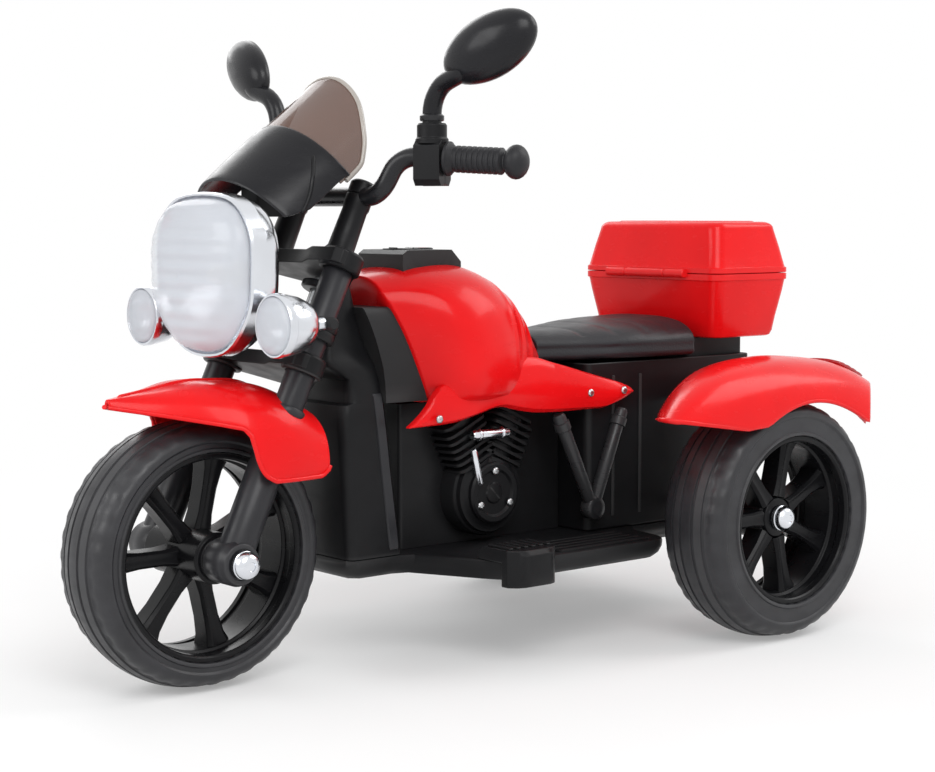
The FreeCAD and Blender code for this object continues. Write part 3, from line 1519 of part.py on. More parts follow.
def make_mudguards():
    lip = half_track + S.mudguard_lip_out
    span = lip - frame_side
    tail = S.mudguard_tail_behind
    trim = S.mudguard_trim
    front = rear_x + S.mudguard_tip_ahead
    plan = prism([
        (front, frame_side - trim), (front, lip + 2 * trim), (rear_x - tail * 0.48, lip + 2 * trim),
        (rear_x - tail, frame_side + span * 0.57), (rear_x - tail * 0.6, frame_side - trim),
    ], 0, 2 * S.frame_top, "XY")
    shell = mudguard_loft(float(S.mudguard_wall)).common(plan).cut(mudguard_skirt())
    left = keep("rear_fender_left", solid("rear_fender_left", shell))
    keep("rear_fender_right", mirrored("rear_fender_right", left))
    make_tail_lamps()


def make_tail_lamps():
    """Lenses that sit on the rear slope of the fenders."""
    thick = S.tail_lamp_thickness
    raised = mudguard_loft(float(thick)).translated(point(0, 0, thick + S.tail_lamp_gap))
    start = rear_x - S.tail_lamp_behind
    span = half_track + S.mudguard_lip_out - frame_side
    low_y = frame_side + span * 0.36
    window = Part.makeBox(float(S.tail_lamp_length), float(S.tail_lamp_width), float(S.frame_top),
                          point(start - S.tail_lamp_length, low_y, axle_z))
    left = solid("tail_lamp_left", raised.common(window))
    keep("tail_lamps", group("tail_lamps", left, mirrored("tail_lamp_right", left)))


# Top box

def tapered_box(name, inset, low, height, taper_low, taper_high, corner):
    """A box with sloping sides, all drawn in by an inset, and rounded upright corners."""
    back = rear_x - S.box_behind - S.box_length
    half = S.box_half_width - inset
    length = S.box_length - inset
    wedge = doc.addObject("Part::Wedge", f"{name}_wedge")
    bind(wedge, Xmin=inset + taper_low, Xmax=length - taper_low)
    bind(wedge, Zmin=taper_low - half, Zmax=half - taper_low)
    bind(wedge, X2min=inset + taper_high, X2max=length - taper_high)
    bind(wedge, Z2min=taper_high - half, Z2max=half - taper_high)
    bind(wedge, Ymin=0, Ymax=height)
    place(wedge, (back, 0, low), Rotation(Vector(1, 0, 0), 90))
    doc.recompute()
    chosen = []
    for number, edge in enumerate(wedge.Shape.Edges, start=1):
        if edge.BoundBox.ZLength > float(height) * 0.9:
            chosen.append((number, float(corner), float(corner)))
    rounded = doc.addObject("Part::Fillet", f"{name}_rounded")
    rounded.Base = wedge
    rounded.Edges = chosen
    return rounded


def make_box():
    wall = S.box_wall
    base_low = S.frame_top + S.rack_height + S.fit_gap
    seam = base_low + S.box_base_height
    lid_low = seam + S.lid_gap
    hinge_x = rear_x - S.box_behind + S.hinge_radius - S.hinge_sink
    hinge_z = seam + S.lid_gap / 2
    half = S.hinge_half_span
    inner_half = S.hinge_half_knuckle
    swing = S.hinge_radius + S.side_gap
    outside = tapered_box("base", dim(0), base_low, S.box_base_height, S.box_base_taper, dim(0), S.box_corner)
    inside = tapered_box("base_room", wall, base_low + wall, S.box_base_height, S.box_base_taper, dim(0),
                         S.box_corner - wall)
    knuckles = []
    for start in (inner_half + S.side_gap, -half):
        knuckles.append(cylinder("base_knuckle", S.hinge_radius, half - inner_half - S.side_gap,
                                 (hinge_x, start, hinge_z), "Y"))
    middle_room = cylinder("lid_knuckle_room", swing, 2 * (inner_half + S.side_gap),
                           (hinge_x, -inner_half - S.side_gap, hinge_z), "Y")
    pin_hole = cylinder("hinge_bore", S.hinge_pin_radius + S.running_gap, 3 * half,
                        (hinge_x, -1.5 * half, hinge_z), "Y")
    tub = fuse("base_and_knuckles", cut("base_tub", outside, inside), *knuckles)
    keep("box_base", cut("box_base", tub, middle_room, pin_hole))
    cover = tapered_box("lid", dim(0), lid_low, S.lid_height, dim(0), S.lid_taper, S.box_corner)
    hollow = tapered_box("lid_room", wall, lid_low - wall, S.lid_height, dim(0), S.lid_taper,
                         S.box_corner - wall)
    side_rooms = []
    for start in (inner_half, -half - S.side_gap):
        side_rooms.append(cylinder("base_knuckle_room", swing, half - inner_half + S.side_gap,
                                   (hinge_x, start, hinge_z), "Y"))
    knuckle = cylinder("lid_knuckle", S.hinge_radius, 2 * inner_half, (hinge_x, -inner_half, hinge_z), "Y")
    pin = cylinder("hinge_pin", S.hinge_pin_radius, 2 * half, (hinge_x, -half, hinge_z), "Y")
    shell = cut("lid_shell", cut("lid_hollow", cover, hollow), *side_rooms)
    keep("box_lid", fuse("box_lid", shell, knuckle, pin))


# Drive train beside the right rear wheel

def gear_places():
    """Centres of the output, compound and pinion shafts, from the rear axle upwards."""
    first = S.gear_module * (S.output_teeth + S.compound_small_teeth) / 2
    second = S.gear_module * (S.compound_big_teeth + S.pinion_teeth) / 2
    lower, upper = S.first_mesh_angle, S.second_mesh_angle
    output = (rear_x, axle_z)
    compound = (output[0] + first * cosine(lower), output[1] + first * sine(lower))
    pinion = (compound[0] + second * cosine(upper), compound[1] + second * sine(upper))
    return [output, compound, pinion]


def gear(teeth, centre, start_y, width, tooth_angle):
    """A spur gear about Y with one tooth pointing at an angle, thinned for backlash."""
    module = float(S.gear_module)
    count = round(float(teeth))
    pitch = module * count / 2
    tip, root = pitch + 0.8 * module, pitch - 1.15 * module
    step = 2 * math.pi / count
    corners = []
    for index in range(count):
        middle = math.radians(tooth_angle) + index * step
        for radius, share in ((root, -0.29), (tip, -0.12), (tip, 0.12), (root, 0.29)):
            angle = middle + share * step
            corners.append(Vector(float(centre[0]) + radius * math.cos(angle), float(start_y),
                                  float(centre[1]) + radius * math.sin(angle)))
    face = Part.Face(Part.makePolygon(corners + corners[:1]))
    return face.extrude(Vector(0, float(width), 0))


def drum(radius, centre, start_y, stop_y):
    start = point(centre[0], start_y, centre[1])
    return Part.makeCylinder(float(radius), float(stop_y) - float(start_y), start, Vector(0, 1, 0))


def make_drive():
    output, compound, pinion = gear_places()
    near = -frame_side
    far = near - S.gearbox_depth
    wall = S.gearbox_wall
    cover_face = far - wall
    first = float(S.first_mesh_angle)
    second = float(S.second_mesh_angle)
    face = S.gear_face
    out_y = far + wall
    big_y = out_y + face + S.gear_spacing
    room = S.side_gap
    # The output gear rides on the axle and reaches through the cover to the right wheel's hub.
    hub_end = -half_track + half_tyre - S.rim_inset
    hub = drum(S.output_hub_radius, output, hub_end, out_y + face)
    wheel_gear = gear(S.output_teeth, output, out_y, face, first).fuse(hub)
    bore = drum(S.axle_radius + S.running_gap, output, hub_end - wall, out_y + face + wall)
    keep("output_gear", solid("output_gear", wheel_gear.cut(bore)))
    small_pitch = 180 / float(S.compound_small_teeth)
    small_face = face + S.gear_spacing + S.root_depth
    twin = gear(S.compound_small_teeth, compound, out_y, small_face, first + 180 + small_pitch)
    twin = twin.fuse(gear(S.compound_big_teeth, compound, big_y, face, second))
    shaft = drum(S.gear_shaft_radius, compound, cover_face + room, near - room)
    keep("compound_gear", solid("compound_gear", twin.fuse(shaft)))
    pinion_y = big_y - S.gear_spacing / 2
    pinion_pitch = 180 / float(S.pinion_teeth)
    drive = gear(S.pinion_teeth, pinion, pinion_y, face + S.gear_spacing, second + 180 + pinion_pitch)
    motor_y = -S.frame_half_width + S.frame_wall + S.fit_gap
    drive = drive.cut(drum(S.motor_shaft_radius + S.running_gap, pinion, far, near))
    keep("motor_pinion", solid("motor_pinion", drive))
    can = drum(S.motor_radius, pinion, motor_y, motor_y + S.motor_length)
    spindle = drum(S.motor_shaft_radius, pinion, pinion_y, motor_y + S.root_depth)
    keep("motor", solid("motor", can.fuse(spindle)))
    make_gearbox(output, compound, pinion, near, far)
    make_rear_axle()


def make_gearbox(output, compound, pinion, near, far):
    """A case open towards the wheel, closed by a cover that the shafts bear in."""
    module = S.gear_module
    wall = S.gearbox_wall
    room = S.gear_room
    left_edge = compound[0] - module * S.compound_big_teeth / 2 - room
    right_edge = output[0] + module * S.output_teeth / 2 + room
    low_edge = output[1] - module * S.output_teeth / 2 - room
    high_edge = compound[1] + module * S.compound_big_teeth / 2 + room
    length = right_edge - left_edge
    height = high_edge - low_edge
    outside = block("case_outside", length, S.gearbox_depth, height, (left_edge, far, low_edge))
    inside = block("case_inside", length - 2 * wall, S.gearbox_depth, height - 2 * wall,
                   (left_edge + wall, far - wall, low_edge + wall))
    deep = 4 * wall
    axle_hole = cylinder("case_axle_hole", S.axle_radius + S.fit_gap, deep,
                         (output[0], near - deep / 2, output[1]), "Y")
    shaft_hole = cylinder("case_shaft_hole", S.gear_shaft_radius + S.running_gap, deep,
                          (compound[0], near - deep / 2, compound[1]), "Y")
    motor_hole = cylinder("case_motor_hole", S.motor_shaft_radius + S.motor_shaft_room, deep,
                          (pinion[0], near - deep / 2, pinion[1]), "Y")
    keep("gearbox_case", cut("gearbox_case", outside, inside, axle_hole, shaft_hole, motor_hole))
    plate = block("cover_plate", length, wall, height, (left_edge, far - wall - S.fit_gap, low_edge))
    hub_hole = cylinder("cover_hub_hole", S.output_hub_radius + S.side_gap, deep,
                        (output[0], far - deep / 2, output[1]), "Y")
    bear_hole = cylinder("cover_shaft_hole", S.gear_shaft_radius + S.running_gap, deep,
                         (compound[0], far - deep / 2, compound[1]), "Y")
    keep("gearbox_cover", cut("gearbox_cover", plate, hub_hole, bear_hole))


def make_rear_axle():
    hub_face = half_track + S.rear_hub_reach + S.side_gap
    reach = hub_face + S.cap_hole - S.side_gap
    shaft = cylinder("axle_shaft", S.axle_radius, 2 * reach, (rear_x, -reach, axle_z), "Y")
    hub_inside = half_track - half_tyre + S.rim_inset - S.side_gap
    collar = cylinder("axle_collar", S.collar_radius, S.collar_width,
                      (rear_x, hub_inside - S.collar_width, axle_z), "Y")
    keep("rear_axle", fuse("rear_axle", shaft, collar))
    cap = place(make_cap("rear_cap"), (rear_x, hub_face, axle_z), "Y")
    keep("rear_axle_caps", group("rear_axle_caps", cap, mirrored("rear_cap_right", cap)))


def make_screws():
    """Screw heads on the side panels and the engine covers."""
    panel_y = frame_side + S.panel_thickness
    cover_y = S.crankcase_half_width + S.cover_depth
    centre_x = front_x - S.crankcase_setback
    centre_z = deck_top + S.crankcase_rise
    heads = []
    spots = [
        (rear_x + S.panel_end_ahead + 6 * S.screw_radius, panel_y, panel_top - S.panel_depth * 0.6),
        (rear_x + S.panel_end_ahead + 18 * S.screw_radius, panel_y, panel_top - S.panel_depth * 0.6),
        (front_x - S.panel_tip_setback - S.panel_tip_slope, panel_y, panel_low + S.screw_radius),
    ]
    ring_radius = S.cover_radius * 0.72
    for angle in (90, 210, 330):
        turn = dim(angle)
        spots.append((centre_x + ring_radius * cosine(turn), cover_y, centre_z + ring_radius * sine(turn)))
    for at in spots:
        head = cylinder("screw_head", S.screw_radius, S.screw_head, at, "Y")
        heads += [head, mirrored("screw_right", head)]
    keep("screws", group("screws", *heads))


forms = {}
make_wheels()
make_fork()
make_yokes()
make_handlebar()
make_lamps()
make_windshield()
make_front_fender()
make_floor()
make_tank()
make_shield()
make_engine()
make_panels()
make_dash()
make_rear_frame()
make_seat()
make_mudguards()
make_box()
make_drive()
make_screws()
doc.recompute()

for obj in doc.Objects:
    if "Invalid" in obj.State or "Error" in obj.State:
        raise RuntimeError(f"{obj.Label} failed: {obj.State}")
for label, obj in pieces.items():
    if obj.Shape.isNull() or not obj.Shape.isValid() or not obj.Shape.Solids:
        raise RuntimeError(f"{label} has no valid shape")

os.makedirs("parts", exist_ok=True)
for label, obj in pieces.items():
    obj.Shape.exportStep(f"parts/{label}.step")
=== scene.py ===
"""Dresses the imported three-wheel ride-on motorbike for its studio picture.

Lengths are in millimetres in the part's own frame, +X forward, +Y to the rider's left and +Z up,
until a piece becomes a mesh, which is in metres.
"""

import logging
import math
from collections.abc import Callable, Sequence
from dataclasses import dataclass, field
from enum import Enum

import bmesh
import bpy
from mathutils import Matrix, Vector

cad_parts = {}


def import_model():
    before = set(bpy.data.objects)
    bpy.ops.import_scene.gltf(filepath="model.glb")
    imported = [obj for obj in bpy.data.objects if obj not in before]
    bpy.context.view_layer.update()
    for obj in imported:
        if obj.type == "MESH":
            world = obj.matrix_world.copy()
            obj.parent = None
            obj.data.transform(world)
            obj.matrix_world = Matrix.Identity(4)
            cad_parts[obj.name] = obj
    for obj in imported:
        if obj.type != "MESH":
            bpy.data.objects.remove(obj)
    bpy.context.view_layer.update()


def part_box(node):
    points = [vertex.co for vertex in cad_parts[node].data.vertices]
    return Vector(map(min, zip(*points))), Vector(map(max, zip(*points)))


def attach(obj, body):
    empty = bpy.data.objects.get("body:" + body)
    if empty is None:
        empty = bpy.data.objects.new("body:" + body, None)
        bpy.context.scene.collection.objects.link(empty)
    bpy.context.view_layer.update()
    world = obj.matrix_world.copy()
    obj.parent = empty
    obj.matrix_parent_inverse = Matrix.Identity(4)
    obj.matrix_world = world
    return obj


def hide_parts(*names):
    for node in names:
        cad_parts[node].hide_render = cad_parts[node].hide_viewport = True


LOG = logging.getLogger("ride_on")
MM = 0.001
HALVINGS = 24
EDGE_ANGLE = 32

Socket = bpy.types.NodeSocket
Span = tuple[float, float]
Colour = tuple[float, float, float]
Place = tuple[float, float, float]
Ring = list[Vector]
Outline = list[Span]
Points = tuple[Span, ...]
Stations = tuple[Place, ...]

CLOUD_SPAN = (0.3, 0.7)
EDGE_SPAN = (0.53, 0.62)

AHEAD = Vector((1, 0, 0))
LEFT = Vector((0, 1, 0))
UP = Vector((0, 0, 1))


class Body(Enum):
    """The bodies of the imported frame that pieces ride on."""

    CHASSIS = "chassis"
    STEERING = "steering"
    FRONT_WHEEL = "front_wheel"
    LEFT_WHEEL = "rear_wheel_left"
    RIGHT_WHEEL = "rear_wheel_right"
    PEDAL = "pedal"
    LID = "box_lid"
    LEFT_MIRROR = "mirror_left"
    RIGHT_MIRROR = "mirror_right"


class Side(Enum):
    """The rider's left or right."""

    LEFT = 1
    RIGHT = -1

    @property
    def word(self) -> str:
        """The side's name as node names spell it."""
        return self.name.lower()


class Grain(Enum):
    """The fine relief that a mould leaves on a surface."""

    PEEL = "peel"
    SPARK = "spark"
    LEATHER = "leather"
    BRUSHED = "brushed"


class Nodes:
    """Wires the nodes of one material."""

    def __init__(self, material: bpy.types.Material) -> None:
        """Take hold of a material's tree.

        Args:
            material: A material that uses nodes.
        """
        self.tree = material.node_tree
        self.shader = self.tree.nodes["Principled BSDF"]
        self.place = self.add("ShaderNodeTexCoord").outputs["Object"]

    def add(self, kind: str, **values: object) -> bpy.types.Node:
        """Add a node and set its named inputs.

        Args:
            kind: The node's type name.
            values: Input names, with underscores for spaces, and what they are set to.

        Returns:
            The new node.
        """
        node = self.tree.nodes.new(kind)
        for name, value in values.items():
            node.inputs[name.replace("_", " ")].default_value = value
        return node

    def link(self, source: Socket, target: Socket) -> None:
        """Join an output to an input."""
        self.tree.links.new(source, target)

    def noise(self, scale: float, detail: float = 3.0, stretch: Place = (1, 1, 1)) -> Socket:
        """A cloud texture in the part's own coordinates.

        Args:
            scale: How many clouds fit in a metre.
            detail: How many finer layers it has.
            stretch: Scale along each axis, for streaks.

        Returns:
            The texture's value output.
        """
        mapping = self.add("ShaderNodeMapping", Scale=stretch)
        self.link(self.place, mapping.inputs["Vector"])
        texture = self.add("ShaderNodeTexNoise", Scale=scale, Detail=detail)
        self.link(mapping.outputs["Vector"], texture.inputs["Vector"])
        return texture.outputs["Fac"]

    def cells(self, scale: float) -> Socket:
        """A pebbled texture, as on moulded leather grain.

        Args:
            scale: How many pebbles fit in a metre.

        Returns:
            The texture's distance output.
        """
        texture = self.add("ShaderNodeTexVoronoi", Scale=scale)
        self.link(self.place, texture.inputs["Vector"])
        return texture.outputs["Distance"]

    def spread(self, source: Socket, reach: Span, result: Span) -> Socket:
        """Stretch a value from one range to another.

        Args:
            source: The value's output.
            reach: Low and high end of the source's range.
            result: Low and high end of the result's range.

        Returns:
            The stretched value's output.
        """
        node = self.add("ShaderNodeMapRange", From_Min=reach[0], From_Max=reach[1],
                        To_Min=result[0], To_Max=result[1])
        self.link(source, node.inputs["Value"])
        return node.outputs["Result"]

    def mix(self, share: Socket, first: object, second: object) -> Socket:
        """Mix two colours by a value.

        Args:
            share: The value that mixes them.
            first: A colour or an output, shown where the value is 0.
            second: A colour or an output, shown where the value is 1.

        Returns:
            The mixed colour's output.
        """
        node = self.tree.nodes.new("ShaderNodeMix")
        node.data_type = "RGBA"
        self.link(share, node.inputs[0])
        for socket, colour in ((node.inputs[6], first), (node.inputs[7], second)):
            if isinstance(colour, Socket):
                self.link(colour, socket)
            else:
                socket.default_value = (*colour, 1.0)
        return node.outputs[2]

    def bump(self, height: Socket, strength: float, depth: float) -> None:
        """Raise the surface by a texture, on top of any relief it has already.

        Args:
            height: The texture's value.
            strength: Share of the relief that shows.
            depth: Height of the relief in metres.
        """
        node = self.add("ShaderNodeBump", Strength=strength, Distance=depth)
        self.link(height, node.inputs["Height"])
        normal = self.shader.inputs["Normal"]
        if normal.is_linked:
            self.link(normal.links[0].from_socket, node.inputs["Normal"])
        self.link(node.outputs["Normal"], normal)


@dataclass(frozen=True)
class Relief:
    """The fine relief of a surface: its kind, clouds in a metre, strength, and depth in metres."""

    grain: Grain = Grain.SPARK
    scale: float = 900.0
    strength: float = 0.25
    depth: float = 0.00012


@dataclass(frozen=True)
class Finish:
    """A moulded, painted or plated surface: its colour, gloss, fine relief and wear."""

    name: str
    slot: str
    colour: Colour
    roughness: float
    relief: Relief = Relief()
    specular: float = 0.5
    metallic: float = 0.0
    coat: float = 0.0
    coat_roughness: float = 0.06
    alpha: float = 1.0
    mottle: float = 0.08
    mottle_scale: float = 16.0
    gloss_spread: float = 0.06
    wear: float = 0.0

    def material(self) -> bpy.types.Material:
        """Build the material the first time, and hand back the same one after that.

        Returns:
            The material.
        """
        known = bpy.data.materials.get(self.name)
        if known:
            return known
        material = bpy.data.materials.new(self.name)
        material.use_nodes = True
        nodes = Nodes(material)
        constants = {"Metallic": self.metallic, "Specular IOR Level": self.specular, "Coat Weight": self.coat,
                     "Coat Roughness": self.coat_roughness, "Alpha": self.alpha}
        for name, value in constants.items():
            nodes.shader.inputs[name].default_value = value
        self.paint(nodes)
        self.polish(nodes)
        self.emboss(nodes)
        return material

    def paint(self, nodes: Nodes) -> None:
        """Give the colour its clouding and the pale scuffs along its edges.

        Args:
            nodes: The material's nodes.
        """
        clouds = nodes.spread(nodes.noise(self.mottle_scale, 5.0), CLOUD_SPAN, (0.0, 1.0))
        dark = tuple(value * (1 - self.mottle) for value in self.colour)
        light = tuple(min(1.0, value * (1 + self.mottle)) for value in self.colour)
        colour = nodes.mix(clouds, dark, light)
        if self.wear:
            bend = nodes.add("ShaderNodeNewGeometry").outputs["Pointiness"]
            scuffed = tuple(value * 0.5 + 0.3 for value in self.colour)
            colour = nodes.mix(nodes.spread(bend, EDGE_SPAN, (0.0, self.wear)), colour, scuffed)
        nodes.link(colour, nodes.shader.inputs["Base Color"])

    def polish(self, nodes: Nodes) -> None:
        """Let the gloss wander a little, as handling leaves it.

        Args:
            nodes: The material's nodes.
        """
        gloss = (max(0.02, self.roughness - self.gloss_spread), self.roughness + self.gloss_spread)
        smears = nodes.spread(nodes.noise(45.0, 4.0, (1, 1, 2.5)), CLOUD_SPAN, gloss)
        nodes.link(smears, nodes.shader.inputs["Roughness"])

    def emboss(self, nodes: Nodes) -> None:
        """Lay the mould's fine relief on the surface.

        Args:
            nodes: The material's nodes.
        """
        scale, strength, depth = self.relief.scale, self.relief.strength, self.relief.depth
        if self.relief.grain is Grain.LEATHER:
            nodes.bump(nodes.cells(scale), strength, depth)
            nodes.bump(nodes.noise(scale * 2.5), strength * 0.6, depth * 0.5)
        elif self.relief.grain is Grain.BRUSHED:
            nodes.bump(nodes.noise(scale, 2.0, (1, 12, 1)), strength, depth)
        elif self.relief.grain is Grain.PEEL:
            nodes.bump(nodes.noise(scale, 1.0), strength, depth)
            nodes.bump(nodes.noise(1500.0, 2.0), strength * 0.3, 0.00004)
        else:
            nodes.bump(nodes.noise(scale, 2.0), strength, depth)


class Finishes:
    """The finishes of this object, by the maker's words for them."""

    RED = Finish("glossy_red_shell", "red_plastic", (0.77, 0.006, 0.008), 0.24,
                 Relief(Grain.PEEL, 70, 0.12, 0.0006), 0.16, coat=0.07, mottle=0.05, wear=0.08)
    BLACK = Finish("moulded_black_shell", "black_plastic", (0.008, 0.008, 0.009), 0.4,
                   Relief(scale=1400, strength=0.3), 0.17, mottle=0.2, wear=0.1)
    GLOSS_BLACK = Finish("polished_black_cowl", "black_plastic", (0.009, 0.009, 0.011), 0.26,
                         Relief(Grain.PEEL, 110, 0.1, 0.0004), 0.24, wear=0.1)
    GRAPHITE = Finish("graphite_fork_moulding", "black_plastic", (0.022, 0.022, 0.025), 0.34,
                      Relief(scale=1100, strength=0.15), 0.28, mottle=0.1, wear=0.12)
    SEAT = Finish("grained_black_seat", "seat_plastic", (0.014, 0.014, 0.017), 0.42,
                  Relief(Grain.LEATHER, 420, 0.4, 0.00035), 0.34, mottle=0.15, wear=0.08)
    TYRE = Finish("hard_tyre", "tyre_plastic", (0.022, 0.022, 0.025), 0.42,
                  Relief(strength=0.4, depth=0.0002), 0.42, mottle=0.25, mottle_scale=30.0,
                  gloss_spread=0.1, wear=0.15)
    RIM = Finish("satin_black_rim", "black_plastic", (0.007, 0.007, 0.008), 0.3,
                 Relief(Grain.PEEL, 160, 0.12, 0.0003), 0.16, wear=0.1)
    GRIP = Finish("soft_grip", "grip_rubber", (0.014, 0.014, 0.016), 0.5,
                  Relief(scale=1600, strength=0.5), 0.3, mottle=0.2)
    CHROME = Finish("bright_plating", "silver_plating", (0.72, 0.74, 0.78), 0.2,
                    Relief(Grain.PEEL, 90, 0.08, 0.0004), metallic=1.0, mottle=0.06)
    TUBE = Finish("painted_black_tube", "painted_tube", (0.012, 0.012, 0.014), 0.3,
                  Relief(Grain.PEEL, 300, 0.15, 0.0002), 0.3, wear=0.15)
    STEEL = Finish("brushed_steel", "steel", (0.56, 0.57, 0.58), 0.3, Relief(Grain.BRUSHED, 500, 0.2),
                   metallic=1.0)
    LENS = Finish("clear_lamp_lens", "lamp_lens", (0.74, 0.77, 0.82), 0.16,
                  Relief(Grain.PEEL, 120, 0.08, 0.0003), alpha=0.5, mottle=0.02, gloss_spread=0.03)
    SMOKE = Finish("smoked_sheet", "smoked_screen", (0.13, 0.065, 0.045), 0.1,
                   Relief(Grain.PEEL, 60, 0.06, 0.0004), 0.35, alpha=0.74, mottle=0.1, mottle_scale=9.0,
                   gloss_spread=0.03)
    SCREEN_EDGE = Finish("pale_screen_edge", "smoked_screen", (0.36, 0.33, 0.3), 0.22,
                         Relief(Grain.PEEL, 200, 0.1), coat=0.2)
    RED_LENS = Finish("red_tail_lens", "red_lens", (0.42, 0.006, 0.01), 0.1,
                      Relief(Grain.PEEL, 220, 0.2, 0.0004), coat=0.3, mottle=0.12)
    MIRROR = Finish("mirror_foil", "mirror_face", (0.9, 0.91, 0.92), 0.04,
                    Relief(Grain.PEEL, 40, 0.04, 0.0003), metallic=1.0, mottle=0.02, gloss_spread=0.02)
    NYLON = Finish("white_nylon", "white_nylon", (0.78, 0.77, 0.72), 0.42, Relief(scale=800, strength=0.2))
    BUTTON = Finish("red_push_button", "red_button", (0.6, 0.02, 0.015), 0.3, Relief(strength=0.2))


def catmull(points: Sequence[Vector], steps: int, closed: bool = False) -> Ring:
    """Points along a smooth curve through the given ones.

    Args:
        points: The points to pass through, of any number of coordinates.
        steps: How many points each span gets.
        closed: Whether the curve comes back to its start.

    Returns:
        The curve's points.
    """
    count = len(points)
    path = []
    for index in range(count if closed else count - 1):
        spots = [index - 1, index, index + 1, index + 2]
        if closed:
            before, start, stop, after = (points[spot % count] for spot in spots)
        else:
            before, start, stop, after = (points[min(max(spot, 0), count - 1)] for spot in spots)
        for step in range(steps):
            t = step / steps
            bend = start * 2 + (stop - before) * t
            bend += (before * 2 - start * 5 + stop * 4 - after) * t ** 2
            bend += (start * 3 - before - stop * 3 + after) * t ** 3
            path.append(bend * 0.5)
    if not closed:
        path.append(points[-1].copy())
    return path


def level_at(path: Sequence[Vector], place: float) -> float:
    """The second coordinate of a curve where its first one has a value.

    Args:
        path: Points in rising or falling order of their first coordinate.
        place: The first coordinate to look up, held to the curve's ends.

    Returns:
        The second coordinate there.
    """
    for start, stop in zip(path, path[1:]):
        if min(start[0], stop[0]) <= place <= max(start[0], stop[0]) and start[0] != stop[0]:
            return start[1] + (stop[1] - start[1]) * (place - start[0]) / (stop[0] - start[0])
    nearest = min((path[0], path[-1]), key=lambda point: abs(point[0] - place))
    return nearest[1]


def boundary(inside: float, outside: float, holds: Callable[[float], bool]) -> float:
    """The last value on the way outside for which a test still holds.

    Args:
        inside: A value that passes the test.
        outside: The far end of the search.
        holds: The test.

    Returns:
        The value, by halving.
    """
    for _ in range(HALVINGS):
        middle = (inside + outside) / 2
        inside, outside = (middle, outside) if holds(middle) else (inside, middle)
    return inside


def power(value: float, exponent: float) -> float:
    """A power that keeps the sign of its base."""
    return math.copysign(abs(value) ** exponent, value)


def arch(half: float, floor: float, top: float, cut: float, squareness: float, columns: int) -> Outline:
    """The upper part of a squared oval, from its left end over the top.

    Args:
        half: Half the oval's width.
        floor: Height of the oval's lowest point.
        top: Height of its highest point.
        cut: Height that the arch starts and ends at.
        squareness: 2 for an ellipse, more for a squarer outline.
        columns: How many spans it has.

    Returns:
        Distance across and height of each point.
    """
    centre, tall = (floor + top) / 2, (top - floor) / 2
    start = math.asin(power(max(-0.98, min(0.98, (cut - centre) / tall)), squareness / 2))
    points = []
    for column in range(columns + 1):
        turn = start + (math.pi - 2 * start) * column / columns
        across = half * power(math.cos(turn), 2 / squareness)
        points.append((across, centre + tall * power(math.sin(turn), 2 / squareness)))
    return points


def both_sides(half: Outline) -> Outline:
    """Half an outline, joined with its mirror image."""
    return half + [(x, -y) for x, y in reversed(half)]


def rounded_rect(half_long: float, half_wide: float, radius: float, steps: int = 5) -> Outline:
    """A rectangle about the origin with round corners.

    Args:
        half_long: Half its length along the first axis.
        half_wide: Half its width along the second axis.
        radius: The corners' radius.
        steps: How many spans each corner has.

    Returns:
        The outline's points, anticlockwise.
    """
    points = []
    for corner, (along, across) in enumerate(((1, 1), (-1, 1), (-1, -1), (1, -1))):
        for step in range(steps + 1):
            angle = math.radians(90 * corner + 90 * step / steps)
            x = along * (half_long - radius) + radius * math.cos(angle)
            points.append((x, across * (half_wide - radius) + radius * math.sin(angle)))
    return points


def rounded_path(points: Sequence[Vector], bend: float, steps: int = 7) -> Ring:
    """Straight runs joined by tangent arcs.

    Args:
        points: The corners of the path.
        bend: The arcs' radius.
        steps: How many spans each arc has.

    Returns:
        The path's points.
    """
    path = [points[0]]
    for before, corner, after in zip(points, points[1:], points[2:]):
        arriving = (corner - before).normalized()
        leaving = (after - corner).normalized()
        half_turn = arriving.angle(leaving) / 2
        inward = (leaving - arriving).normalized()
        hub = corner + inward * (bend / math.cos(half_turn))
        first = corner - arriving * bend * math.tan(half_turn) - hub
        last = corner + leaving * bend * math.tan(half_turn) - hub
        path += [hub + first.slerp(last, step / steps).normalized() * bend for step in range(steps + 1)]
    return path + [points[-1]]


def axis_frame(origin: Vector, along: Vector) -> Matrix:
    """A frame at a place, with its Z axis laid along a direction."""
    return Matrix.Translation(origin) @ along.to_track_quat("Z", "Y").to_matrix().to_4x4()


def box_of(node: str) -> tuple[Vector, Vector]:
    """Lowest and highest corner of a CAD node, in millimetres."""
    low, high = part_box(node)
    return low / MM, high / MM


def middle_of(node: str) -> Vector:
    """Middle of a CAD node's box, in millimetres."""
    low, high = box_of(node)
    return (low + high) / 2


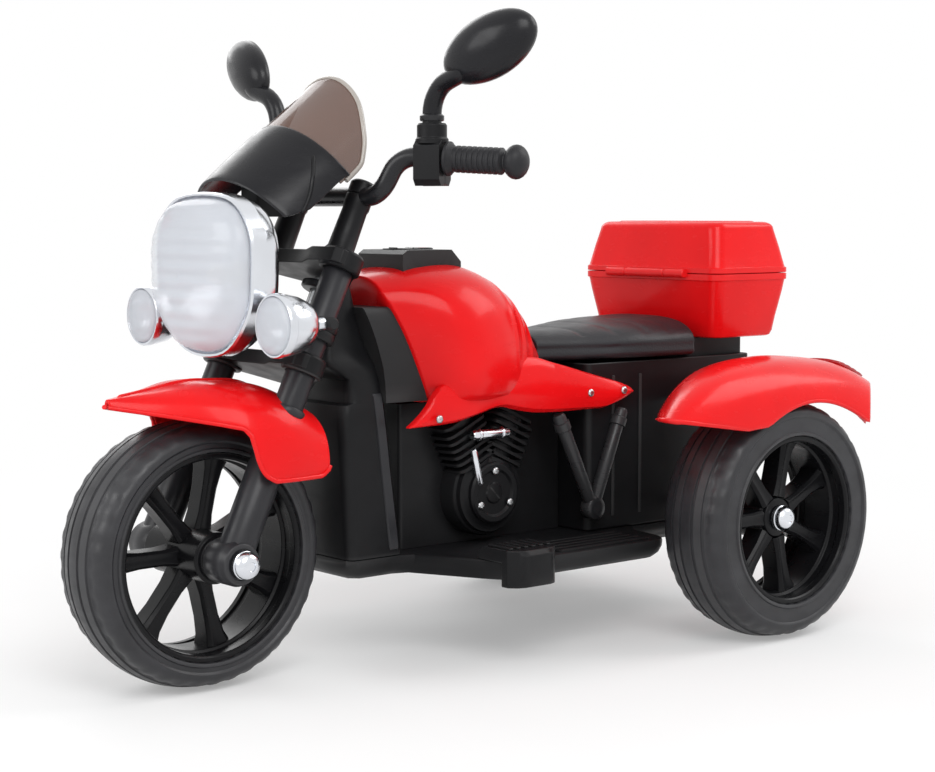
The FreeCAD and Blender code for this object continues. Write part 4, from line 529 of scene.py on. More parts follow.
class Draft:
    """The points and faces of one piece before it becomes a mesh."""

    def __init__(self) -> None:
        """Start with nothing."""
        self.points: Ring = []
        self.faces: list[list[int]] = []

    def loft(self, rings: Sequence[Ring], closed: bool = True, caps: bool = True,
             loop: bool = False) -> "Draft":
        """Skin a row of rings that have equally many points.

        Args:
            rings: The rings, in order.
            closed: Whether each ring comes back to its start.
            caps: Whether the first and last rings are filled.
            loop: Whether the last ring joins the first.

        Returns:
            This draft.
        """
        count = len(rings[0])
        start = len(self.points)
        for ring in rings:
            self.points.extend(Vector(point) for point in ring)
        rows = list(range(len(rings)))
        pairs = list(zip(rows, rows[1:] + rows[:1])) if loop else list(zip(rows, rows[1:]))
        for low, high in pairs:
            for column in range(count if closed else count - 1):
                after = (column + 1) % count
                first, second = start + low * count, start + high * count
                self.faces.append([first + column, first + after, second + after, second + column])
        if caps and closed and not loop:
            self.faces.append([start + column for column in reversed(range(count))])
            self.faces.append([start + rows[-1] * count + column for column in range(count)])
        return self

    def turn(self, profile: Outline, frame: Matrix, segments: int = 48, loop: bool = False,
             relief: Callable[[float, float], float] | None = None) -> "Draft":
        """Turn a profile about a frame's Z axis.

        Args:
            profile: Radius and height of each point.
            frame: Where the axis stands.
            segments: How many spans go round.
            loop: Whether the profile is a closed ring section.
            relief: How much the radius shrinks at an angle and a height.

        Returns:
            This draft.
        """
        rings = []
        for radius, height in profile:
            ring = []
            for index in range(segments):
                angle = math.tau * index / segments
                reach = radius - (relief(angle, height) if relief else 0.0)
                ring.append(frame @ Vector((reach * math.cos(angle), reach * math.sin(angle), height)))
            rings.append(ring)
        return self.loft(rings, loop=loop)

    def sweep(self, path: Sequence[Vector], radius: float | Sequence[float], sides: int = 14) -> "Draft":
        """Draw a round bar along a path.

        Args:
            path: The bar's centre line.
            radius: Its radius, or one for each point of the path.
            sides: How many sides its section has.

        Returns:
            This draft.
        """
        radii = [radius] * len(path) if isinstance(radius, (int, float)) else list(radius)
        heading = (path[1] - path[0]).normalized()
        across = heading.orthogonal().normalized()
        rings = []
        for index, spot in enumerate(path):
            ahead = path[min(index + 1, len(path) - 1)] - path[max(index - 1, 0)]
            turn = heading.rotation_difference(ahead.normalized())
            heading = ahead.normalized()
            across = (turn @ across).normalized()
            upright = heading.cross(across)
            ring = []
            for side in range(sides):
                angle = math.tau * side / sides
                ring.append(spot + (across * math.cos(angle) + upright * math.sin(angle)) * radii[index])
            rings.append(ring)
        return self.loft(rings)

    def slab(self, outline: Outline, low: float, high: float, frame: Matrix = Matrix()) -> "Draft":
        """Raise an outline in a frame's XY plane into a plate between two heights."""
        return self.loft([[frame @ Vector((x, y, height)) for x, y in outline] for height in (low, high)])

    def mirrored(self) -> "Draft":
        """The same draft on the other side of the middle plane.

        Returns:
            A new draft.
        """
        other = Draft()
        other.points = [Vector((point.x, -point.y, point.z)) for point in self.points]
        other.faces = [list(reversed(face)) for face in self.faces]
        return other

    def doubled(self) -> "Draft":
        """This draft together with its mirror image.

        Returns:
            This draft.
        """
        other = self.mirrored()
        self.faces += [[index + len(self.points) for index in face] for face in other.faces]
        self.points += other.points
        return self

    def on(self, side: Side) -> "Draft":
        """This draft, drawn for the left, on the side asked for."""
        return self if side is Side.LEFT else self.mirrored()

    def mesh(self, name: str, keep_sides: bool) -> bpy.types.Mesh:
        """Make the mesh, with its faces turned outwards.

        Args:
            name: The mesh's name.
            keep_sides: Whether an open sheet only has its faces turned away from its middle.

        Returns:
            The mesh, in metres.
        """
        mesh = bpy.data.meshes.new(name)
        mesh.from_pydata([point * MM for point in self.points], [], self.faces)
        work = bmesh.new()
        work.from_mesh(mesh)
        bmesh.ops.recalc_face_normals(work, faces=work.faces)
        if keep_sides:
            middle = sum((vertex.co for vertex in work.verts), Vector()) / len(work.verts)
            outward = sum(face.normal.dot(face.calc_center_median() - middle) for face in work.faces)
            if outward < 0:
                bmesh.ops.reverse_faces(work, faces=work.faces)
        work.to_mesh(mesh)
        work.free()
        mesh.polygons.foreach_set("use_smooth", [True] * len(mesh.polygons))
        return mesh

    def piece(self, name: str, finish: Finish, body: Body, replaces: Sequence[str] = (), bevel: float = 0.0,
              levels: int = 0, wall: float = 0.0, sharp: float = 38.0) -> bpy.types.Object:
        """Make the finished piece and let it ride on its body.

        Args:
            name: The piece's name.
            finish: Its finish.
            body: The body that it rides on.
            replaces: The CAD nodes that it stands for.
            bevel: Width of the rounding on its edges.
            levels: How often its surface is subdivided.
            wall: Thickness given to an open sheet, inwards.
            sharp: Angle above which an edge is shaded as a corner.

        Returns:
            The piece.
        """
        mesh = self.mesh(name, wall > 0)
        if not levels:
            mesh.set_sharp_from_angle(angle=math.radians(sharp))
        obj = new_object(name, mesh)
        if wall:
            shell = obj.modifiers.new("wall", "SOLIDIFY")
            shell.thickness = wall * MM
            shell.offset = -1
            shell.edge_crease_rim = 0.6
        if bevel:
            round_edges(obj, bevel)
        if levels:
            smooth = obj.modifiers.new("smooth", "SUBSURF")
            smooth.levels = levels
            smooth.render_levels = levels
        mesh.materials.append(finish.material())
        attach(obj, body.value)
        if replaces:
            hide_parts(*replaces)
        LOG.info("built %s", name)
        return obj

    def pair(self, node: str, word: str, finish: Finish, body: Body, stands: bool = True,
             **looks: float) -> None:
        """Make the piece on both sides from this draft, which is drawn for the left.

        Args:
            node: The pair's name without its side.
            word: What the pieces are, after the side in their names.
            finish: Their finish.
            body: The body that they ride on.
            stands: Whether each stands for its side's CAD node.
            looks: Rounding, subdivision, wall and sharp angle, as for one piece.
        """
        for side in Side:
            name = f"{node}_{side.word}"
            self.on(side).piece(f"{name}_{word}", finish, body, [name] if stands else (), **looks)


def new_object(name: str, data: bpy.types.ID) -> bpy.types.Object:
    """Put a mesh, lamp or camera into the scene.

    Args:
        name: The object's name.
        data: What it shows.

    Returns:
        The object.
    """
    obj = bpy.data.objects.new(name, data)
    bpy.context.scene.collection.objects.link(obj)
    return obj


def round_edges(obj: bpy.types.Object, width: float, segments: int = 3) -> None:
    """Round an object's corners with a bevel.

    Args:
        obj: The object.
        width: The rounding's width in millimetres.
        segments: How many spans it has.
    """
    bevel = obj.modifiers.new("rounding", "BEVEL")
    bevel.width = width * MM
    bevel.segments = segments
    bevel.limit_method = "ANGLE"
    bevel.angle_limit = math.radians(EDGE_ANGLE)
    bevel.harden_normals = True


def dress(node: str, finish: Finish, bevel: float = 0.0) -> None:
    """Give a CAD node that stays in view its finish and softened edges.

    Args:
        node: The node's name.
        finish: Its finish.
        bevel: Width of the rounding on its edges.
    """
    obj = bpy.data.objects[node]
    obj.data.materials.clear()
    obj.data.materials.append(finish.material())
    obj.data.polygons.foreach_set("use_smooth", [True] * len(obj.data.polygons))
    obj.data.set_sharp_from_angle(angle=math.radians(EDGE_ANGLE))
    if bevel:
        round_edges(obj, bevel, 2)
    LOG.info("dressed %s", node)


@dataclass(frozen=True)
class Steering:
    """The raked steering line that the fork, lamps and bars are measured along."""

    rake: float = 25.0

    @property
    def up(self) -> Vector:
        """The direction along the fork, upwards."""
        lean = math.radians(self.rake)
        return Vector((-math.sin(lean), 0, math.cos(lean)))

    @property
    def ahead(self) -> Vector:
        """The direction square to the fork, forwards."""
        lean = math.radians(self.rake)
        return Vector((math.cos(lean), 0, math.sin(lean)))

    def at(self, ahead: float, left: float, up: float) -> Vector:
        """A place given square to the fork, to the left and along the fork, from the front axle."""
        return middle_of("front_tyre") + self.ahead * ahead + LEFT * left + self.up * up

    def frame(self, left: float = 0.0, up: float = 0.0, ahead: float = 0.0) -> Matrix:
        """A frame on the fork, with Z along it and X forwards."""
        turn = Matrix((self.ahead, LEFT, self.up)).transposed().to_4x4()
        return Matrix.Translation(self.at(ahead, left, up)) @ turn


@dataclass
class Wheel:
    """A wheel: a moulded tyre with grooves and shoulder lugs, and a deep spoked rim."""

    tyre: str
    rim: str
    body: Body
    rim_radius: float
    hub_reach: Span
    shoulder: float = 17.0
    crown: float = 4.0
    groove_places: tuple[float, ...] = (8.0, 20.0)
    groove_half: float = 1.5
    groove_depth: float = 1.3
    lugs: int = 40
    lug_depth: float = 0.9
    spokes: int = 7
    spoke_half_depth: float = 17.0
    spoke_stations: Stations = (
        (0.0, 9.5, 15.0), (0.25, 7.5, 14.0), (0.6, 7.8, 13.5), (0.85, 9.5, 14.5), (1.0, 13.0, 16.5))
    hub_radius: float = 24.0
    bore: float = 6.1
    lip: float = 6.0

    def __post_init__(self) -> None:
        """Read the wheel's place and size from its tyre's node."""
        low, high = box_of(self.tyre)
        self.centre = (low + high) / 2
        self.radius = (high.z - low.z) / 2 - 0.02
        self.half = (high.y - low.y) / 2
        self.frame = axis_frame(self.centre, LEFT)

    def build(self) -> None:
        """Build the tyre and the rim."""
        self.build_tyre()
        self.build_rim()

    def tread_profile(self) -> Outline:
        """Half of the tyre's section, from the bead to the middle of the tread.

        Returns:
            Radius and place across of each point.
        """
        bead, half = self.rim_radius, self.half
        ridge = self.radius - self.shoulder
        profile = [(bead, half - 5), (bead + 0.6, half - 1.0), (bead + 2.0, half - 0.2),
                   (bead + 3.6, half - 0.2)]
        profile += [(bead + 4.6, half - 1.6), (ridge - 2.4, half - 1.8), (ridge - 1.0, half - 0.5)]
        rise = self.shoulder - self.crown
        for step in range(8):
            angle = math.radians(90 * step / 7)
            place = half - self.shoulder * (1 - math.cos(angle))
            profile.append((ridge + rise * math.sin(angle), place))
        flat = half - self.shoulder
        for groove in reversed(self.groove_places):
            wide = self.groove_half
            for beside, depth in ((wide + 0.5, 0), (wide, self.groove_depth), (-wide, self.groove_depth),
                                  (-wide - 0.5, 0)):
                place = groove + beside
                profile.append((self.radius - self.crown * (place / flat) ** 2 - depth, place))
        return profile + [(self.radius, 2.0)]

    def lug_relief(self, angle: float, height: float) -> float:
        """Depth of the notches between the shoulder lugs at a place on the tyre.

        Args:
            angle: Angle round the tyre.
            height: Place across it.

        Returns:
            The depth.
        """
        if not self.half - self.shoulder < abs(height) < self.half - 1.9:
            return 0.0
        phase = (angle * self.lugs / math.tau + (0.5 if height > 0 else 0.0)) % 1.0
        return self.lug_depth if phase < 0.26 else 0.0

    def build_tyre(self) -> None:
        """Turn the tyre and notch its shoulders."""
        half = self.tread_profile()
        draft = Draft().turn(both_sides(half), self.frame, self.lugs * 4, loop=True, relief=self.lug_relief)
        draft.piece(self.tyre + "_tread", Finishes.TYRE, self.body, [self.tyre], sharp=30)

    def build_rim(self) -> None:
        """Turn the barrel and hub, and set the spokes between them."""
        outer = self.rim_radius - 0.2
        edge = self.half - 3.0
        deep = self.spoke_half_depth
        half = [(outer, 0), (outer, edge - 1), (outer - 1, edge), (outer - 4, edge),
                (outer - self.lip, edge - 2)]
        half += [(outer - self.lip - 0.5, edge - 9), (outer - self.lip + 1.5, edge - 11),
                 (outer - 5, deep + 2)]
        half += [(outer - 8, deep), (outer - 8, 0.5)]
        draft = Draft().turn(both_sides(half), self.frame, 84, loop=True)
        inward, outward = self.hub_reach
        hub = self.hub_radius
        draft.turn([
            (self.bore, inward), (hub - 2, inward), (hub, inward + 2), (hub, outward - 6),
            (hub - 3, outward - 5), (hub - 4, outward - 1), (hub - 6, outward), (self.bore + 5, outward),
            (self.bore + 4, outward - 1.5), (self.bore, outward - 1.5),
        ], self.frame, 56, loop=True)
        for index in range(self.spokes):
            self.add_spoke(draft, math.tau * (index + 0.5) / self.spokes, outer - 7)
        draft.piece(self.rim + "_casting", Finishes.RIM, self.body, [self.rim], bevel=0.8)

    def add_spoke(self, draft: Draft, angle: float, reach: float) -> None:
        """Add one ridged, waisted spoke.

        Args:
            draft: The rim's draft.
            angle: Where the spoke stands.
            reach: Radius that it ends at.
        """
        outward = Vector((math.cos(angle), math.sin(angle), 0))
        sideways = Vector((-math.sin(angle), math.cos(angle), 0))
        rings = []
        for share, wide, deep in self.spoke_stations:
            spot = outward * (self.hub_radius - 3 + (reach - self.hub_radius + 3) * share)
            quarter = [(wide, deep * 0.7), (wide * 0.62, deep * 0.94), (wide * 0.2, deep * 0.86)]
            section = both_sides(quarter + [(-x, y) for x, y in reversed(quarter)])
            rings.append([self.frame @ (spot + sideways * x + UP * y) for x, y in section])
        draft.loft(rings)


@dataclass
class AxleCaps:
    """The pair of plated caps on an axle's ends."""

    node: str
    body: Body
    height: float = 15.0

    def build(self) -> None:
        """Turn both domed caps, each with a groove and a dimple, where the node has them."""
        low, high = box_of(self.node)
        radius, tall = (high.z - low.z) / 2, self.height
        profile = [(radius - 0.8, 0), (radius, 0.8), (radius, tall * 0.3), (radius - 0.9, tall * 0.34),
                   (radius - 0.9, tall * 0.42), (radius - 0.2, tall * 0.46), (radius * 0.93, tall * 0.68),
                   (radius * 0.74, tall * 0.89), (radius * 0.5, tall * 0.99), (radius * 0.34, tall),
                   (radius * 0.3, tall * 0.93), (radius * 0.08, tall * 0.92)]
        foot = Vector(((low.x + high.x) / 2, high.y - tall, (low.z + high.z) / 2))
        left = Draft().turn(profile, axis_frame(foot, LEFT), 40)
        left.doubled().piece(self.node + "_domes", Finishes.CHROME, self.body, [self.node], sharp=50)


@dataclass
class Fork:
    """The front fork: two legs with boots and axle clamps, and the yokes that hold them."""

    steering: Steering
    spread: float = 66.0
    slider: float = 17.0
    tube: float = 14.0
    slider_top: float = 150.0
    top: float = 303.8
    boss: float = 21.0
    boot_ribs: int = 4
    yoke_heights: Span = (186.0, 290.0)
    yoke_thick: float = 14.0
    post_spread: float = 50.0
    post_radius: float = 13.0
    post_top: float = 381.0
    bar_height: float = 366.0

    def build(self) -> None:
        """Build both legs, the yokes and the clamps, and dress the stem and axle."""
        self.build_legs()
        self.build_yokes()
        dress("steering_stem", Finishes.STEEL, 0.6)
        dress("front_axle", Finishes.STEEL)
        AxleCaps("front_axle_caps", Body.STEERING).build()

    def build_legs(self) -> None:
        """Turn the legs, with their boots, and add the clamps round the axle."""
        slider, tube, boss, top = self.slider, self.tube, self.boss, self.slider_top
        profile = [(slider - 3, -slider), (slider - 0.5, -slider + 3), (slider, 0), (slider, 104),
                   (slider - 1.2, 106), (slider - 1.2, 109), (slider, 111), (slider, 120)]
        for rib in range(self.boot_ribs):
            low = 122 + rib * 6.5
            profile += [(slider - 1.6, low), (slider - 0.2, low + 1.5), (slider - 0.2, low + 3.5)]
        profile += [(slider, top - 1), (slider - 1, top), (tube, top), (tube, self.top - 2),
                    (tube - 2, self.top)]
        draft = Draft().turn(profile, self.steering.frame(self.spread), 40)
        clamp = axis_frame(self.steering.at(0, self.spread, 0), LEFT)
        reach = slider + 0.8
        draft.turn([(boss - 2, -reach), (boss, -reach + 2), (boss, reach - 6), (boss - 2, reach - 4),
                    (boss - 2, reach - 1), (boss - 3, reach), (14.5, reach), (14, reach - 1.2),
                    (6, reach - 1.2)], clamp, 48)
        draft.pair("fork_leg", "moulding", Finishes.GRAPHITE, Body.STEERING, sharp=50)

    def build_yokes(self) -> None:
        """Cut the two plates, and stand the bar's clamps on the upper one."""
        side, thick = self.spread + 18, self.yoke_thick
        half = [(-52, 17), (-34, 44), (-14, 78), (-4, side), (14, side), (20, side - 7), (20, 40), (12, 20)]
        collar = [(14.5, -3), (18.5, -3), (20, -1), (20, thick - 1), (18, thick + 2), (14.5, thick + 2)]
        for name, height in zip(("lower_yoke", "upper_yoke"), self.yoke_heights):
            draft = Draft().turn(collar, self.steering.frame(self.spread, height), 36, loop=True)
            if name == "upper_yoke":
                self.add_post(draft)
            draft.doubled().slab(both_sides(half), 0, thick, self.steering.frame(up=height))
            draft.piece(name + "_casting", Finishes.BLACK, Body.STEERING, [name], bevel=1.6)

    def add_post(self, draft: Draft) -> None:
        """Add the left clamp post, split at the bar, to the upper yoke.

        Args:
            draft: The yoke's draft.
        """
        foot = self.yoke_heights[1] + self.yoke_thick
        bar, top, radius = self.bar_height, self.post_top, self.post_radius
        frame = self.steering.frame(self.post_spread, 0, -5)
        draft.turn([(radius + 3, foot), (radius + 3, foot + 3), (radius, foot + 8), (radius - 1, bar - 14),
                    (radius, bar - 11), (radius, bar - 0.5)], frame, 36)
        draft.turn([(radius, bar + 0.5), (radius, top - 3), (radius - 2.5, top - 0.5), (4.5, top - 0.5),
                    (4, top - 2.5), (1, top - 2.5)], frame, 36)


@dataclass
class Bars:
    """The handlebar with its ribbed grips and split clamps."""

    steering: Steering
    corners: Stations = ((-5, 0, 366), (-5, 81, 366), (0, 96, 405), (-57, 205, 424))
    tube: float = 9.0
    bend: float = 25.0
    grip_length: float = 80.0
    grip_radius: float = 12.5
    knob: float = 16.0
    grip_reach: float = 76.8
    ribs: int = 9
    pod_length: float = 26.0
    pod_half_depth: float = 15.0
    pod_below: float = 26.0
    pod_above: float = 16.0
    boss_radius: float = 14.0
    boss_top: float = 31.9
    gap: float = 2.0

    def __post_init__(self) -> None:
        """Find the left half of the bar's corners, from the middle outwards, and its end's direction."""
        self.left = [self.steering.at(*corner) for corner in self.corners]
        self.heading = (self.left[3] - self.left[2]).normalized()

    def build(self) -> None:
        """Bend the bar, and build a grip and a clamp for each hand."""
        right = [Vector((spot.x, -spot.y, spot.z)) for spot in self.left[:0:-1]]
        bar = Draft().sweep(rounded_path(right + self.left[1:], self.bend, 9), self.tube, 20)
        bar.piece("handlebar_tube", Finishes.TUBE, Body.STEERING, ["handlebar"], sharp=60)
        self.build_grips()
        self.build_pods()

    def build_grips(self) -> None:
        """Turn the grips: flange, ribbed waist and ball end."""
        waist, knob, length = self.grip_radius, self.knob, self.grip_length
        profile = [(self.tube, 0), (knob - 1, 0), (knob, 1), (knob, 3.2), (knob - 1.2, 4), (waist + 0.6, 6)]
        span = length - 24 - 9
        pitch = span / self.ribs
        for rib in range(self.ribs):
            low = 8 + span * rib / self.ribs
            profile += [(waist - 0.9, low), (waist - 0.9, low + pitch * 0.3), (waist, low + pitch * 0.42)]
            profile += [(waist, low + pitch * 0.88)]
        for step in range(11):
            angle = math.radians(-58 + 148 * step / 10)
            profile.append((max(0.8, knob * math.cos(angle)), length - 12 + 11.9 * math.sin(angle)))
        start = self.left[3] - self.heading * self.grip_reach
        draft = Draft().turn(profile, axis_frame(start, self.heading), 40)
        draft.pair("grip", "sleeve", Finishes.GRIP, Body.STEERING, sharp=35)

    def build_pods(self) -> None:
        """Build each clamp as two halves round the bar, with the mirror's boss on top."""
        middle = self.left[3] - self.heading * (self.grip_reach + self.gap + self.pod_length / 2)
        level = Vector((self.heading.x, self.heading.y, 0)).normalized()
        frame = Matrix.Translation(middle) @ Matrix((UP.cross(level), UP, level)).transposed().to_4x4()
        deep, low, high = self.pod_half_depth, -self.pod_below, self.pod_above
        half = [(0.25, low + 2), (deep - 5, low), (deep, low + 6), (deep, high - 5), (deep - 6, high),
                (0.25, high)]
        draft = Draft()
        for sign in (1, -1):
            draft.slab([(sign * x, y) for x, y in half], -self.pod_length / 2, self.pod_length / 2, frame)
        for place in (low + 6, high - 5):
            screw = axis_frame(frame @ Vector((deep, place, 0)), frame.to_3x3() @ AHEAD)
            draft.turn([(3.4, -1), (3.4, 0.6), (2.8, 1.1), (1.6, 1.1), (1.4, 0.2), (0.3, 0.2)], screw, 20)
        radius, top = self.boss_radius, self.boss_top
        draft.turn([(radius + 1.5, high - 3), (radius + 1.5, high + 1), (radius, high + 3), (radius, top - 2),
                    (radius - 1.5, top), (9.4, top)], axis_frame(middle, UP), 36)
        draft.pair("switch_pod", "halves", Finishes.BLACK, Body.STEERING, bevel=1.3)


@dataclass
class Mirrors:
    """The pair of oval mirrors on bent stems."""

    half_wide: float = 52.0
    half_tall: float = 29.0
    bulge: float = 20.0
    back: float = 6.0
    tilt: float = 22.0
    yaw: float = 15.0
    stem: float = 9.0
    stem_straight: float = 44.0
    stem_bend: float = 32.0
    lip: float = 0.17
    sides: int = 48

    def build(self) -> None:
        """Build both mirrors, each on its own body, from one draft for the housing and one for the glass."""
        frame = self.housing_frame()
        back = -self.back
        rim = math.sqrt(1 - (self.back / self.bulge) ** 2) - 0.005
        inner = rim - self.lip
        housing = self.housing(frame, back, rim, inner)
        pane = Draft().loft([self.ring(frame, back + depth, share) for depth, share in (
            (2.3, inner - 0.005), (0.9, inner - 0.005), (0.5, inner - 0.06), (0.3, inner * 0.5))])
        for side, body in ((Side.LEFT, Body.LEFT_MIRROR), (Side.RIGHT, Body.RIGHT_MIRROR)):
            name = f"mirror_{side.word}"
            housing.on(side).piece(name + "_housing", Finishes.GLOSS_BLACK, body, [name], sharp=45)
            pane.on(side).piece(name + "_pane", Finishes.MIRROR, body, [f"mirror_glass_{side.word}"],
                                sharp=60)

    def housing_frame(self) -> Matrix:
        """The left housing's frame, with X out of its domed back.

        Returns:
            The frame.
        """
        yaw = Matrix.Rotation(math.radians(self.yaw), 4, "Z")
        turn = yaw @ Matrix.Rotation(math.radians(self.tilt), 4, "X")
        return Matrix.Translation(middle_of("mirror_glass_left") + turn @ (AHEAD * (self.back - 0.9))) @ turn

    def ring(self, frame: Matrix, ahead: float, share: float) -> Ring:
        """An oval of the housing at one depth.

        Args:
            frame: The housing's frame.
            ahead: The depth, forwards.
            share: The oval's size as a share of the full size.

        Returns:
            The oval's points.
        """
        wide, tall = self.half_wide * share, self.half_tall * share
        turns = [math.tau * step / self.sides for step in range(self.sides)]
        return [frame @ Vector((ahead, wide * math.cos(turn), tall * math.sin(turn))) for turn in turns]

    def housing(self, frame: Matrix, back: float, rim: float, inner: float) -> Draft:
        """Draw the left housing with its stem.

        Args:
            frame: The housing's frame.
            back: Depth of its open side.
            rim: Its size there, as a share of its full size.
            inner: Size of the glass, likewise.

        Returns:
            The draft.
        """
        stations = [(back + 2.5, inner - 0.03), (back + 2.4, inner), (back + 0.3, inner + 0.02),
                    (back, inner + 0.05), (back, rim - 0.03), (back + 1, rim)]
        for step in range(9):
            depth = back + 2 + (self.bulge - 0.3 - back - 2) * math.sin(math.radians(90 * step / 8))
            stations.append((depth, math.sqrt(1 - (depth / self.bulge) ** 2)))
        draft = Draft().loft([self.ring(frame, depth, share) for depth, share in stations])
        pod, stem = middle_of("switch_pod_left"), self.stem
        foot = Vector((pod.x, pod.y, box_of("mirror_left")[0].z))
        corners = [foot, foot + Vector((0, 0, self.stem_straight))]
        corners += [frame @ Vector((stem * 0.65, self.half_wide * out, self.half_tall * up))
                    for out, up in ((-0.6, -0.36), (-0.1, 0))]
        draft.sweep(rounded_path(corners, self.stem_bend), stem, 18)
        return draft.turn([(stem + 1.6, 15), (stem + 2.4, 16), (stem + 2.4, 20), (stem, 22)],
                          axis_frame(foot, UP), 28)


@dataclass
class Lamps:
    """The cross bar with the shield headlight and its two round side lamps."""

    steering: Steering
    spread: float = 66.0
    bar_height: float = 227.0
    collar: float = 19.0
    half_wide: float = 82.0
    half_tall: float = 75.0
    depth: float = 50.0
    shape: Points = ((0.5, 0.97), (0.94, 0.6), (1.0, 0.05), (0.9, -0.48), (0.4, -0.96))
    lens_share: float = 0.938
    lens_steps: int = 30
    flutes: int = 11
    flute_depth: float = 0.9
    side_radius: float = 29.0

    def __post_init__(self) -> None:
        """Read the headlight's place from its node."""
        low, high = box_of("headlight_shell")
        self.back, self.front, self.middle = low.x, high.x, (low.z + high.z) / 2

    def build(self) -> None:
        """Build the bar, the headlight and the side lamps."""
        self.build_bar()
        self.build_headlight()
        self.build_lens()
        self.build_side_lamps()
        self.build_side_lenses()

    def build_bar(self) -> None:
        """Run the cross bar between its two collars."""
        low, high = box_of("lamp_bar")
        x, z, collar = high.x - 6, middle_of("side_lamp_left").z, self.collar
        profile = [(14.3, -9), (collar - 1, -9), (collar, -8), (collar, -1.2), (collar - 0.8, 0),
                   (collar, 1.2), (collar, 8), (collar - 1, 9), (14.3, 9)]
        draft = Draft().turn(profile, self.steering.frame(self.spread, self.bar_height), 40, loop=True)
        lug = axis_frame(Vector((x, self.spread, z)), LEFT)
        draft.turn([(8.5, -8), (9, -7), (9, 7), (8.5, 8)], lug, 28).doubled()
        line = [Vector((x, y, z)) for y in (low.y, low.y + 2, high.y - 2, high.y)]
        draft.sweep(line, [4.5, 6, 6, 4.5], 20)
        draft.piece("lamp_bar_clamp", Finishes.BLACK, Body.STEERING, ["lamp_bar"], sharp=45)

    def outline(self, x: float, share: float) -> Ring:
        """The headlight's shield outline at one depth.

        Args:
            x: How far forward it stands.
            share: Its size as a share of the lamp's front.

        Returns:
            The outline's points.
        """
        right = [Vector((x, self.half_wide * share * across, self.middle + self.half_tall * share * upward))
                 for across, upward in self.shape]
        left = [Vector((spot.x, -spot.y, spot.z)) for spot in reversed(right)]
        return catmull(right + left, 6, closed=True)

    def build_headlight(self) -> None:
        """Build the headlight's plated shell with its bezel and reflector."""
        front, neck = self.front, self.front - self.depth
        stations = [(neck, 0.5), (neck + 1.5, 0.58), (neck + 8, 0.76), (neck + 16, 0.9), (neck + 24, 0.955),
                    (neck + 33, 0.975), (neck + 34, 1.0), (front - 2, 1.0), (front, 0.985), (front, 0.96),
                    (front - 2, 0.945), (front - 5, 0.93), (front - 12, 0.86), (front - 24, 0.66),
                    (front - 34, 0.42), (front - 40, 0.2)]
        draft = Draft().loft([self.outline(x, share) for x, share in stations])
        boss, reach = Vector((self.back, 0, middle_of("side_lamp_left").z)), neck - self.back
        draft.turn([(9, 0), (9, reach + 4), (7, reach + 8)], axis_frame(boss, AHEAD), 28)
        draft.piece("headlight_bowl", Finishes.CHROME, Body.STEERING, ["headlight_shell"], sharp=28)

    def build_lens(self) -> None:
        """Build the headlight's bulging lens, with flutes across it, and the bulb behind."""
        front, far = self.front, box_of("headlight_lens")[1].x
        rings = [self.outline(front - 5.5, 0.925), self.outline(front - 1.5, self.lens_share)]
        for step in range(1, self.lens_steps + 1):
            share = 1 - 0.97 * step / self.lens_steps
            ring = self.outline(front + (far - front) * math.sqrt(1 - share ** 2.5), self.lens_share * share)
            for spot in ring:
                wave = math.cos(math.tau * self.flutes * (spot.z - self.middle) / (2 * self.half_tall))
                spot.x = min(far, spot.x - self.flute_depth * (1 + wave))
            rings.append(ring)
        Draft().loft(rings).piece("headlight_glass", Finishes.LENS, Body.STEERING, ["headlight_lens"],
                                  levels=1)
        bulb = axis_frame(Vector((front - 42, 0, self.middle)), AHEAD)
        profile = [(13, 0), (13, 5), (8, 6), (8, 14), (10, 18), (10, 27), (7, 33), (2, 36)]
        Draft().turn(profile, bulb, 28).piece("headlight_bulb", Finishes.NYLON, Body.STEERING, sharp=45)

    def build_side_lamps(self) -> None:
        """Turn the round lamps: stalk, bowl, rim and the reflector inside."""
        low, high = box_of("side_lamp_left")
        mouth = Vector((high.x - 8, (low.y + high.y) / 2, (low.z + high.z) / 2))
        stalk = low.x - mouth.x
        radius = self.side_radius
        profile = [(6.5, stalk), (7, stalk + 1), (7, -36), (9, -34), (16, -31), (21.5, -25), (25.5, -16),
                   (27.6, -6), (28, 0), (radius, 1), (radius, 6.5), (radius - 1, 8), (radius - 2.4, 8),
                   (radius - 3.2, 6.5), (radius - 3.4, 3), (23.5, -3), (19, -12), (12, -20), (5, -24),
                   (1, -24)]
        draft = Draft().turn(profile, axis_frame(mouth, AHEAD), 48)
        for angle in (90, 210, 330):
            turn = math.radians(angle)
            spot = mouth + Vector((3.5, radius * math.cos(turn) * 0.985, radius * math.sin(turn) * 0.985))
            outward = Vector((0, math.cos(turn), math.sin(turn)))
            draft.turn([(2.2, -1), (2.2, 0.2), (1.4, 0.4), (0.4, 0.4)], axis_frame(spot, outward), 14)
        draft.pair("side_lamp", "bowl", Finishes.CHROME, Body.STEERING, sharp=40)

    def build_side_lenses(self) -> None:
        """Turn the pair of ringed side lenses."""
        low, high = box_of("side_lamp_lenses")
        lamp = middle_of("side_lamp_left")
        radius = self.side_radius - 3.4
        deep = high.x - low.x
        profile = [(radius, 0), (radius, deep * 0.42)]
        for step in range(1, 13):
            share = step / 12
            ripple = 0.35 if step % 2 else 0.0
            profile.append((radius * math.cos(math.radians(87 * share)),
                            deep * (0.42 + 0.57 * math.sin(math.radians(87 * share))) - ripple))
        left = Draft().turn(profile, axis_frame(Vector((low.x, lamp.y, lamp.z)), AHEAD), 44)
        left.doubled().piece("side_lamp_glasses", Finishes.LENS, Body.STEERING, ["side_lamp_lenses"],
                             sharp=60)


